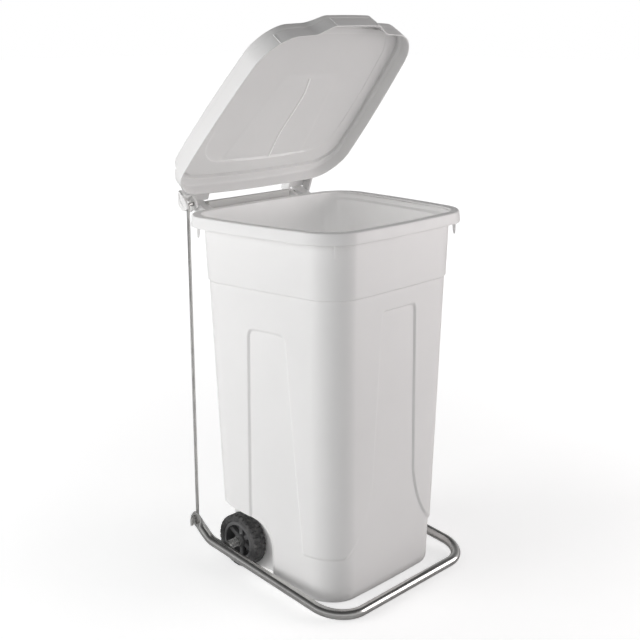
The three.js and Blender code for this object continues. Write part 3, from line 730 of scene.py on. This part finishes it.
LID_MATRIX = Matrix.Translation(Vector(HINGE) * MM) @ Matrix.Rotation(-LID_OPEN, 4, "X")
LID_SHIFT = LID_REAR - LID["half"][1]
CREASE = {"half": (192, 184), "corner": 62, "bulge": 12}
CREASE_SHIFT = LID_REAR - 246
PANEL_REAR = LID_REAR - 70
PANEL_FRONT = LID_REAR - 298
PANEL_MIDDLE = (PANEL_REAR + PANEL_FRONT) / 2
PANEL_HALF_REAR = 122
PANEL_HALF_FRONT = 82
SHELF_HEIGHT = 28.5
COVE_HEIGHT = 29.8
FIELD_HEIGHT = 31.8
CREASE_DEPTH = 1.1
SHOULDER_HEIGHT = 46.4
DOME_RISE = 6


def lid_ring(height, inset, reach=0.0, pull=0.0, flush=0.0):
    """Ring at a height over the free edge. reach pushes the middle of the front forward, pull draws the
    hinge side forward, and flush draws in the front between the ends of the step."""
    ring = plan_ring(LID, LID_SEAT + height, inset, LID_SHIFT, even_sides(LID_SIDE_STEPS))
    x, y = ring[:, 0], ring[:, 1] - LID_SHIFT
    share = smooth((GRIP_RUNOUT - np.abs(x)) / (GRIP_RUNOUT - GRIP_HALF))
    front = y < -LID["half"][1] * 0.6
    moved = np.where(front, reach * share, 0) + pull * smooth((y - 40) / (LID["half"][1] - 40))
    ring[:, 1] -= moved - np.where(front & (np.abs(x) < STEP_HALF), flush, 0)
    return ring


def between(first, second, share, height):
    """Ring part of the way from the first ring to the second ring or point, at a height."""
    ring = first * (1 - share) + second * share
    ring[:, 2] = LID_SEAT + height
    return ring


def panel_ring(ring, grow, height):
    """Outline of the raised field under the lid, met by rays from its middle through the ring's points."""
    rear, front = PANEL_HALF_REAR + grow, PANEL_HALF_FRONT + grow
    corners = softened_loop([(-rear, PANEL_REAR + grow), (-front, PANEL_FRONT - grow),
                             (front, PANEL_FRONT - grow), (rear, PANEL_REAR + grow)], 14, 6)
    loop = np.array(corners) - (0, PANEL_MIDDLE)
    steps = np.linspace(0, 1, 24, endpoint=False)[:, None]
    close = np.concatenate([start + (end - start) * steps for start, end in zip(loop, np.roll(loop, -1, 0))])
    ray = np.arctan2(ring[:, 1] - PANEL_MIDDLE, ring[:, 0])
    turn, reach = np.arctan2(close[:, 1], close[:, 0]), np.hypot(close[:, 0], close[:, 1])
    radius = np.interp(ray, turn, reach, period=2 * math.pi)
    height = np.full(len(ring), LID_SEAT + height)
    return np.column_stack([radius * np.cos(ray), PANEL_MIDDLE + radius * np.sin(ray), height])


def lid_outside():
    """Skirt with its step, grip, shoulder and low dome."""
    reach, pull = GRIP_REACH, REAR_PULL
    skirt = [(0.6, 0.1, reach, 0, 0), (26.6, 1.2, reach, 0, 2.2)]
    step = [(27.4, 5.0, reach, pull, 0), (28.8, 3.9, reach, pull, 0)]
    shoulder = [(37, 4.8, reach, pull, 0), (40, 5.4, reach - 5, pull, 0), (43, 6.3, reach - 11, pull, 0),
                (45, 10, reach - 18, pull, 0), (45.3, 14, 2, pull, 0), (45.6, 24, 0, pull, 0),
                (SHOULDER_HEIGHT, 38, 0, pull, 0)]
    rings = [lid_ring(0, 1.4, reach), lid_ring(0.12, 0.6, reach)]
    rings += [lid_ring(*row) for row in softened(skirt + step + shoulder, 1.4, 3)]
    edge, centre = rings[-1], np.array([0, LID_SHIFT, 0])
    for share in np.linspace(0.04, 0.98, 26):
        rings.append(between(edge, centre, share, SHOULDER_HEIGHT + DOME_RISE * (1 - (1 - share) ** 2)))
    return rings


def lid_underside():
    """From the middle out to the free edge: raised field, cove, crease, shelf, fillet and skirt."""
    reach, pull = GRIP_REACH, REAR_PULL
    shelf = lid_ring(SHELF_HEIGHT, 24, 0, pull)
    crease, crease_in = (plan_ring(CREASE, 0, inset, CREASE_SHIFT, even_sides(LID_SIDE_STEPS))
                         for inset in (0, 2.4))
    rise = FIELD_HEIGHT + 0.5 - COVE_HEIGHT
    field, field_rim = panel_ring(crease, -1.2, FIELD_HEIGHT), panel_ring(crease, 0.6, COVE_HEIGHT + rise)
    centre = np.array([0, PANEL_MIDDLE, 0])
    rings = [between(field, centre, share, FIELD_HEIGHT) for share in np.linspace(0.98, 0.06, 10)]
    rings += [field, field_rim]
    for t in np.linspace(0.08, 1, 14):
        rings.append(between(field_rim, crease_in, t, COVE_HEIGHT + rise * math.cos(t * math.pi / 2) ** 0.8))
    for t, drop in ((0.3, 0.5), (0.55, 1.0), (0.8, CREASE_DEPTH)):
        rings.append(between(crease_in, crease, t, COVE_HEIGHT - drop))
    for t in np.linspace(0.06, 0.94, 11):
        rings.append(between(crease, shelf, t, (COVE_HEIGHT - CREASE_DEPTH) * (1 - t) + SHELF_HEIGHT * t))
    rings.append(shelf)
    gutter = [(SHELF_HEIGHT, 23, 0, pull), (SHELF_HEIGHT, 17, 3, pull), (34.5, 13, reach - 9, pull),
              (35, 10, reach - 6, pull)]
    wall = [(31, 8.6, reach - 3, pull), (26.6, 8.2, reach, pull), (26, 7, reach, pull), (24.6, 6.6, reach, 3),
            (22, 4.6, reach, 0), (0.6, 3, reach, 0)]
    rings += [lid_ring(*row) for row in softened(gutter + wall, 1.6, 4)]
    rings.append(lid_ring(0.1, 2.3, reach))
    return rings


def lid_shell():
    rings = lid_outside()[::-1] + lid_underside()[::-1]
    return outward(mesh_object("lid_shell", *loft(rings)))


def underside_rib():
    """Thin flow rib down the middle of the underside."""
    height = LID_SEAT + FIELD_HEIGHT - 0.5
    marks = [(-1.5, -295), (11.9, -251), (11.5, -201), (9.5, -137), (21.5, -64)]
    path = [Vector((x, LID_REAR + y, height)) for x, y in softened(marks, 20, 5)]
    return sweep("lid_rib", path, 2.4, 16, lambda i: (1, 0.45))


def skirt_bead(x):
    """Moulding line down the front of the skirt, at a place across it."""
    path = []
    for t in np.linspace(0, 1, 8):
        ring = lid_ring(0.8 + 25.4 * t, 0.1 + 1.1 * t, GRIP_REACH, 0, 2.2 * t)
        front = ring[ring[:, 1] < LID_SHIFT]
        front = front[np.argsort(front[:, 0])]
        path.append(Vector((x, float(np.interp(x, front[:, 0], front[:, 1])), LID_SEAT + 0.8 + 25.4 * t)))
    return sweep(f"skirt_bead_{'left' if x < 0 else 'right'}_{abs(x)}", path, 1.1, 12)


def lid_arm(side):
    """Cheeks on the hinge pin, two on the right and one on the left, and the web over the tub's lugs."""
    parts = []
    knuckle = arc((0, 0), KNUCKLE_R - 0.5, -101, 100, 20)
    outline = [(-54, 3.5), (-38, 3.5), (-3, 1 - KNUCKLE_R), *knuckle, (-36, 29), (-54, 29)]
    for pair in (CHEEK_INNER, CHEEK_OUTER) if side > 0 else (CHEEK_OUTER,):
        start, end = span(pair, side)
        hole = rod_x("pin_hole", PIN_R + 0.3, start - 5, end + 5, (0, 0, 0))
        parts.append(bevel(boolean(plate_x("cheek", outline, start, end), hole, "DIFFERENCE"), 0.8))
    start, end = span((WEB_START[side], CHEEK_OUTER[1] - 1), side)
    web = [(-54, 28.6), (-54, 25.5), (-38, 25.5), (-4, 12), (-1, 12.5), (-3, 15), (-36, 28.6)]
    parts.append(plate_x("web", softened_loop(web, 1.2, 2), start, end))
    arm = join("lid_arm_left" if side < 0 else "lid_arm_right", parts)
    rows = ((-2, 2.7, 0, 0), (22, 4.2, 0, 0), (24.6, 6.2, 0, 2.5), (26, 6.6, 0, REAR_PULL - 0.5),
            (33, 8.4, 0, REAR_PULL))
    trim = [lid_ring(*row) for row in rows]
    return boolean(arm, mesh_object("trim", *loft(trim)), "DIFFERENCE")


def rod_slot():
    """Hole in the lever for the rod's end, drawn out along the play of the open pivot."""
    turn = np.linspace(0, 2 * math.pi, 32, endpoint=False)
    circle = (ROD_R + 0.9) * np.stack([np.cos(turn), np.sin(turn)], 1)
    edge = circle + LEVER_PIVOT + np.outer(circle @ PIVOT_PLAY > 0, PIVOT_PLAY)
    ends = [np.column_stack([np.full(32, x), edge]) for x in (-200, -180)]
    return outward(mesh_object("rod_slot", *loft(ends)))


def lid_lever():
    """Two plates that the rod's end runs between, and the block that holds them together."""
    cheek = CHEEK_OUTER[1]
    inner = (-cheek - 5.8, -cheek - 0.3)
    outer = (ROD_TOP_X - 11.5, ROD_TOP_X - 6.5)
    upper = [(-34, 4), (-35, 22), (-24, 16), (-22.5, 13), (-17, 10.5), (-15, 7)]
    lower = [(-11, 5), (-10, 0), (-8, -14), (-14, -19), (-25, -22), (-33, -12)]
    outline = softened_loop(upper + lower, 1.6, 3)
    block = softened_loop([(-34, 4), (-35, 22), (-24, 16), (-15, 7), (-18, 2)], 1.6, 3)
    inner_plate = plate_x("plate", outline, *inner)
    inner_plate = bevel(boolean(inner_plate, rod_slot(), "DIFFERENCE"), 0.5)
    outer_plate = bevel(plate_x("plate", outline, *outer), 0.7)
    filler = bevel(plate_x("block", block, outer[0] + 1, inner[1]), 0.6)
    ridge = [Vector((outer[0], y, z)) for y, z in softened([(-31, 17), (-21, 6), (-19, -14)], 9, 6)]
    return join("lid_lever", [inner_plate, outer_plate, filler, sweep("rib", ridge, 1.4, 10)])


def screw(name, place):
    """Pan-head screw with a cross recess, from the arm into the lever."""
    head = -CHEEK_OUTER[0] + 0.3
    profile = [(0.01, head - 12), (2, head - 12), (2, head), (4, head), (4, head + 1.2), (3.4, head + 2.2),
               (1.8, head + 2.6), (0.01, head + 2.6)]
    made = lathe_x(name, profile, (0, *place), 28)
    for tilt in (0, 90):
        slot = plate_x("slot", [(-2.2, -0.45), (2.2, -0.45), (2.2, 0.45), (-2.2, 0.45)], head + 1.5, head + 4)
        turn = Matrix.Rotation(math.radians(tilt + 20), 4, "X")
        slot.data.transform(Matrix.Translation(Vector((0, *place)) * MM) @ turn)
        boolean(made, slot, "DIFFERENCE")
    return made


def build_lid():
    pieces = [(lid_shell(), LID_WHITE, "lid_plastic", ["lid"]),
              # the rib takes the lighter lid plastic, a painted highlight
              (underside_rib(), RIB_PAINTED_HIGHLIGHT, "lid_plastic", ()),
              (lid_arm(-1), LID_WHITE, "lid_plastic", ()),
              (lid_arm(1), LID_WHITE, "lid_plastic", ()),
              (lid_lever(), LEVER_WHITE, "lever_plastic", ["lid_lever"])]
    for name, place in zip(("lever_screw_upper", "lever_screw_lower"), LEVER_SCREWS):
        pieces.append((screw(name + "_head", place), ZINC, "fastener_steel", [name]))
    # the skirt beads take the lighter lid plastic, a painted highlight along the moulding lines
    for x in (-STEP_HALF, -GRIP_HALF, GRIP_HALF, STEP_HALF):
        pieces.append((skirt_bead(x), RIB_PAINTED_HIGHLIGHT, "lid_plastic", ()))
    for piece, material, slot, stands_for in pieces:
        piece.data.transform(LID_MATRIX)
        finish_piece(piece, "lid", material, stands_for, sharp=30)


build_lid()

# ---- hinge pins, washers, bushes and clips --------------------------------------------------


def small_turned_parts():
    """Parts turned round the hinge and the axle, as (node, body, material, slot, profile, centre)."""
    parts = []
    cheek = CHEEK_OUTER[1]
    for side, where in SIDES:
        head = HINGE_START[side] - 6
        pin_head = [(0.01, head), (6, head), (7, head + 1), (7, head + 5), (6.4, head + 5.7),
                    (PIN_R, head + 5.7)]
        pin_end = [(PIN_R, cheek + 0.3), (PIN_R - 1, cheek + 0.3), (PIN_R - 1, cheek + 2.4),
                   (PIN_R, cheek + 2.4), (PIN_R, cheek + 3.2), (PIN_R - 0.8, cheek + 4), (0.01, cheek + 4)]
        rows = [
            ("hinge_pin_", "tub", ZINC, "fastener_steel", pin_head + pin_end, HINGE),
            ("hinge_clip_", "tub", ZINC, "fastener_steel",
             sleeve_profile(PIN_R - 0.7, 7.5, cheek + 0.6, cheek + 2.1, 0.3), HINGE),
            ("washer_inner_", "tub", ZINC, "fastener_steel",
             sleeve_profile(AXLE_R + 0.3, 11, ARCH_X + 0.3, HUB_X[0] - 0.6, 0.4), AXLE),
            ("washer_outer_", "tub", ZINC, "fastener_steel",
             sleeve_profile(AXLE_R + 0.3, 11, HUB_X[1] + 0.6, HUB_X[1] + 2.1, 0.4), AXLE),
            ("hub_bush_", "wheel_" + where, NYLON, "bush_nylon",
             sleeve_profile(AXLE_R + 0.3, AXLE_R + 1.7, HUB_X[0] - 0.2, HUB_X[1] + 0.2, 0.3), AXLE),
            ("pedal_boss_", "pedal", BOSS_STEEL, "boss_steel", boss_profile(), AXLE)]
        for node, body, material, slot, profile, centre in rows:
            turned = [(radius, side * x) for radius, x in profile]
            parts.append((node + where, body, material, slot, turned, centre))
    return parts


BOSS_GROOVES = 5


def boss_profile():
    """Sleeve between the wheel and the pedal's arm, over the axle's end, with turned grooves."""
    start, end = HUB_X[1] + 2.4, PEDAL_HALF_X - TUBE_R - 0.3
    outside = [(9.2, start), (10, start + 0.8)]
    for i in range(BOSS_GROOVES):
        at = start + 4 + 4 * i
        outside += [(10, at), (9.1, at + 0.7), (9.1, at + 1.5), (10, at + 2.2)]
    outside += [(10, end - 4), (9.9, end - 3), (9.99, end)]
    depth = end - 0.7
    return [(0.01, end), (0.01, depth), (AXLE_R + 0.3, depth), (AXLE_R + 0.3, start), *outside]


def axle_bar():
    half = 206.5
    profile = [(0.01, -half), (AXLE_R - 1, -half), (AXLE_R, 1 - half), (AXLE_R, half - 1), (AXLE_R - 1, half),
               (0.01, half)]
    return lathe_x("axle_bar", profile, AXLE)


for node, body, material, slot, profile, centre in small_turned_parts():
    finish_piece(lathe_x(node + "_piece", profile, centre), body, material, [node])
finish_piece(axle_bar(), "tub", ZINC, ["axle"])

# ---- wheels ---------------------------------------------------------------------------------

TREAD_BLOCKS = 30
BLOCK_STEPS = 10
TREAD_DEPTH = 3.2
TYRE_MIDDLE = sum(TYRE_X) / 2
TYRE_HALF = (TYRE_X[1] - TYRE_X[0]) / 2
HUB_HALF = (HUB_X[1] - HUB_X[0]) / 2


def mirrored(profile):
    """The profile followed from its other end, with its x turned round."""
    return [(radius, -x) for radius, x in reversed(profile)]


def tyre(side, where):
    """Tyre with rounded shoulders, a groove round the middle and blocks cut across the tread."""
    face = 0.2 - TYRE_HALF
    half = [(WHEEL_R, 2 - TYRE_HALF), (WHEEL_R + 3, -TYRE_HALF), (WHEEL_R + 8, face), (TYRE_R - 3, face),
            (TYRE_R, 2.6 - TYRE_HALF), (TYRE_R, -2.2), (TYRE_R - 2, -1.5)]
    profile = softened(half + mirrored(half), 1.5, 4)
    steps = TREAD_BLOCKS * BLOCK_STEPS
    rings = []
    for i in range(steps):
        angle = 2 * math.pi * i / steps
        ring = []
        for radius, x in profile:
            # blocks on one side stand opposite the gaps on the other; the middle and the walls stay whole
            turn = angle + (math.pi / TREAD_BLOCKS if x > 0 else 0)
            phase = (turn * TREAD_BLOCKS / (2 * math.pi)) % 1
            groove = smooth((abs(phase - 0.5) - 0.37) / 0.05)
            outer = smooth((radius - (TYRE_R - 5)) / 2.5)
            side_share = smooth((abs(x) - 3) / 1.5)
            sunk = radius - TREAD_DEPTH * groove * outer * side_share
            ring.append((side * TYRE_MIDDLE + x, AXLE[1] + sunk * math.cos(angle),
                         AXLE[2] + sunk * math.sin(angle)))
        rings.append(np.array(ring))
    return outward(mesh_object(f"tyre_{where}_tread", *loft(rings, looped=True)))


def wheel(side, where):
    """Rim, hub and spokes."""
    middle = side * TYRE_MIDDLE
    seat = WHEEL_R - 0.3
    rim = [(seat, TYRE_HALF - 2), (seat - 2, TYRE_HALF), (seat - 7, TYRE_HALF), (seat - 7.5, TYRE_HALF - 3),
           (seat - 5.5, 3)]
    rim = softened([(seat, 2 - TYRE_HALF), *rim, *mirrored(rim)], 1.4, 3)[:-1]
    made = lathe_x("rim", [(r, middle + x) for r, x in rim], AXLE, 96)
    hub = [(AXLE_R + 2, -HUB_HALF), (11, -HUB_HALF), (12, 1 - HUB_HALF), (14.5, 4 - HUB_HALF)]
    hub = softened([*hub, (15.5, 0), *mirrored(hub)], 1, 2)
    boolean(made, lathe_x("hub", [(r, middle + x) for r, x in hub], AXLE, 64), "UNION")
    for i in range(SPOKES):
        turn = Matrix.Rotation(2 * math.pi * i / SPOKES, 4, "X")
        spoke = spoke_mesh(seat)
        spoke.data.transform(Matrix.Translation(Vector((middle, AXLE[1], AXLE[2])) * MM) @ turn)
        boolean(made, spoke, "UNION")
    made.name = f"wheel_{where}_hub"
    return made


def spoke_mesh(seat):
    """Spoke along +Z, wider and thicker at both ends."""
    rings = []
    for z in np.linspace(10, seat - 6, 14):
        flare = 2.6 * (abs(z - 25) / 15) ** 2.2
        wide, thick = 5.2 + flare, 6.5 + 0.35 * flare
        rings.append(np.array([(thick * squarer(math.cos(a), 0.45), wide * squarer(math.sin(a), 0.45), z)
                               for a in np.linspace(0, 2 * math.pi, 28, endpoint=False)]))
    return outward(mesh_object("spoke", *loft(rings)))


for side, where in SIDES:
    finish_piece(tyre(side, where), "wheel_" + where, RUBBER, ["tyre_" + where], sharp=50)
    finish_piece(wheel(side, where), "wheel_" + where, WHEEL_GREY, ["wheel_" + where])

# ---- pedal ----------------------------------------------------------------------------------


def arm_point(x, along):
    """Point on the pedal's arm line at x, at a distance behind the axle along the arm."""
    return Vector((x, AXLE[1] + along * math.cos(PEDAL_PITCH), AXLE[2] + along * math.sin(PEDAL_PITCH)))


def kick_point(along):
    """Point on the kicked-up left end, at a distance from its bend."""
    angle = PEDAL_PITCH + PEDAL_KICK
    bend = arm_point(-PEDAL_HALF_X, KICK_START)
    return bend + Vector((0, along * math.cos(angle), along * math.sin(angle)))


def pedal_frame():
    """Bent tube: two arms, the bar across the front, and a kicked-up left end pressed flat."""
    corners = [arm_point(PEDAL_HALF_X, PEDAL_REAR), arm_point(PEDAL_HALF_X, -PEDAL_FRONT),
               arm_point(-PEDAL_HALF_X, -PEDAL_FRONT), arm_point(-PEDAL_HALF_X, KICK_START), kick_point(30)]
    path = rounded_path(corners, [PEDAL_CORNER, PEDAL_CORNER, 50], 28)
    round_points = len(path)
    flat_start, flat_run, tip_run = 32, 18, 14
    flat_places = [*np.linspace(flat_start, KICK_LENGTH - 5, 22),
                   *(KICK_LENGTH - back for back in (2.5, 1, 0))]
    path += [kick_point(along) for along in flat_places]

    def share(i):
        """How far the tube is pressed flat at a point of the path."""
        if i < round_points:
            return 0.0
        return float(smooth((flat_places[i - round_points] - flat_start) / flat_run))

    def size(i):
        """Thinner and wider where the tube is flat, and rounded off towards the tip."""
        flat = share(i)
        wide = 1 + (TAB_THICK / 2 / TUBE_R - 1) * flat
        tall = 1 + (TAB_HALF / TUBE_R - 1) * flat
        place = flat_places[i - round_points] if i >= round_points else 0
        tip = max(0.0, (place - (KICK_LENGTH - tip_run)) / tip_run)
        return wide, tall * (1 - 0.42 * tip ** 2.2)

    made = sweep("pedal_tube", path, TUBE_R, 36, size, lambda i: 1 - 0.45 * share(i))
    bore = [corners[0] + (corners[0] - corners[1]).normalized() * 2, corners[1].lerp(corners[0], 0.9)]
    boolean(made, sweep("bore", bore, TUBE_R - 1.5, 28), "DIFFERENCE")
    hole = rod_x("rod_hole", ROD_R + 0.5, -240, -200, ROD_LOW)
    return boolean(made, hole, "DIFFERENCE")


def pedal_plug():
    """Push-in cap of the tube's open end."""
    radius = TUBE_R - 2.7
    profile = softened([(0.01, -14), (radius - 0.8, -14), (radius, -12), (radius, 0.3), (TUBE_R, 0.3),
                        (TUBE_R, 2), (TUBE_R - 2, 3.6), (0.01, 4)], 1, 3)
    made = lathe_x("pedal_plug", profile, (0, 0, 0), 40)
    made.data.transform(Matrix.Rotation(PEDAL_PITCH, 4, "X") @ Matrix.Rotation(math.radians(90), 4, "Z"))
    made.data.transform(Matrix.Translation(arm_point(PEDAL_HALF_X, PEDAL_REAR) * MM))
    return made


finish_piece(pedal_frame(), "pedal", CHROME, ["pedal_frame"], sharp=45)
finish_piece(pedal_plug(), "pedal", BLACK, ["pedal_end_plug"])

# ---- push rod -------------------------------------------------------------------------------


def push_rod():
    """Steel rod, cranked into the pedal's tab below and into the lid's lever above."""
    opened = Matrix.Rotation(-LID_OPEN, 3, "X") @ Vector((ROD_TOP_X, *LEVER_PIVOT))
    opened += Vector((0, HINGE[1], HINGE[2]))
    tail_x, upper_end_x = -228, -178.6
    corners = [(tail_x, ROD_LOW[1], ROD_LOW[2] - 18), (tail_x, ROD_LOW[1], ROD_LOW[2]),
               (ROD_LOW_X, ROD_LOW[1], ROD_LOW[2]), tuple(opened), (upper_end_x, opened.y, opened.z)]
    return sweep("push_rod_bar", rounded_path(corners, [4.8] * 3, 10), ROD_R, 24), opened


rod, rod_top = push_rod()
finish_piece(rod, "push_rod", ROD_STEEL, ["push_rod"])
clips = (("rod_clip_lower", sleeve_profile(ROD_R + 0.3, 7, -216.4, -215, 0.3), ROD_LOW),
         ("rod_clip_upper", sleeve_profile(ROD_R + 0.1, 5.2, -182.2, -180.5, 0.3), rod_top))
for node, profile, centre in clips:
    finish_piece(lathe_x(node + "_ring", profile, centre, 36), "push_rod", ZINC, [node])

# ---- floor, light and camera ----------------------------------------------------------------


def floor():
    """Pale floor that fades to white with its distance from the bin."""
    half = 30000
    obj = mesh_object("floor", [(-half, -half, 0), (half, -half, 0), (half, half, 0), (-half, half, 0)],
                      [(0, 1, 2, 3)])
    material, tree, shader = node_material("floor_paint", Roughness=0.9, Emission_Color=(1, 1, 1, 1))
    tree.links.new(mixed(tree, spread(tree, noise(tree, 2, 3), 0, 1), (0.80, 0.80, 0.80), (0.78, 0.78, 0.78)),
                   shader.inputs["Base Color"])
    away = add_node(tree, "VectorMath", Vector=add_node(tree, "TexCoord").outputs["Object"])
    away.operation = "LENGTH"
    glow = add_node(tree, "Math")
    glow.operation = "MULTIPLY"
    feed(tree, glow.inputs[0], add_node(tree, "LightPath").outputs["Is Camera Ray"])
    feed(tree, glow.inputs[1], spread(tree, away.outputs["Value"], 0.56, 0.95, 0.4, 3.2))
    tree.links.new(glow.outputs[0], shader.inputs["Emission Strength"])
    obj.data.materials.append(material)


def area_light(name, place, power, reflected=False, colour=(1, 1, 1)):
    """Large soft light that faces the middle of the bin."""
    light = bpy.data.lights.new(name, "AREA")
    light.shape = "RECTANGLE"
    light.size, light.size_y = 2.2, 2.0
    light.energy = power
    light.color = colour
    obj = linked_object(name, light)
    obj.location = place
    obj.rotation_euler = (Vector((0, 0, 0.6)) - Vector(place)).to_track_quat("-Z", "Y").to_euler()
    obj.visible_glossy = reflected


def studio():
    """Soft light from the left rear and the right front, little from above, white all round."""
    world = bpy.data.worlds.new("studio")
    bpy.context.scene.world = world
    world.use_nodes = True
    tree = world.node_tree
    split = add_node(tree, "SeparateXYZ", Vector=add_node(tree, "TexCoord").outputs["Generated"])
    ramp = add_node(tree, "ValToRGB", Fac=split.outputs["Z"])
    for element, position, level in zip(ramp.color_ramp.elements, (0.02, 0.7), (0.8, 0.1)):
        element.position = position
        element.color = (level, level, level, 1)
    seen = add_node(tree, "LightPath").outputs["Is Camera Ray"]
    colour = mixed(tree, seen, ramp.outputs["Color"], (1, 1, 1))
    tree.links.new(colour, tree.nodes["Background"].inputs["Color"])
    area_light("key_left", (-2.9, 1.5, 1.0), 66)
    area_light("fill_right", (2.4, -2.4, 0.9), 51, True, (1, 0.945, 0.945))
    area_light("front_soft", (-2.5, -2.7, 1.0), 8)
    glow = bpy.data.lights.new("tub_glow", "POINT")
    glow.energy = 0.7
    glow.shadow_soft_size = 0.12
    linked_object("tub_glow", glow).location = (0, -0.02, 0.5)


CAMERA_AZIMUTH = math.radians(-46.91)
CAMERA_ELEVATION = math.radians(15.57)
CAMERA_DISTANCE = 2.4616
CAMERA_TARGET = Vector((0, 0.0277, 0.5228))


def camera():
    """Camera at the front left, level with the top of the open lid."""
    data = bpy.data.cameras.new("camera")
    data.lens = 63.2
    data.sensor_width = 36
    data.shift_x, data.shift_y = 0.0027, 0.0218
    obj = linked_object("camera", data)
    away = Vector((math.sin(CAMERA_AZIMUTH) * math.cos(CAMERA_ELEVATION),
                   -math.cos(CAMERA_AZIMUTH) * math.cos(CAMERA_ELEVATION), math.sin(CAMERA_ELEVATION)))
    obj.location = CAMERA_TARGET + away * CAMERA_DISTANCE
    obj.rotation_euler = (-away).to_track_quat("-Z", "Y").to_euler()
    bpy.context.scene.camera = obj


floor()
studio()
camera()
bpy.context.scene.view_settings.view_transform = "Standard"
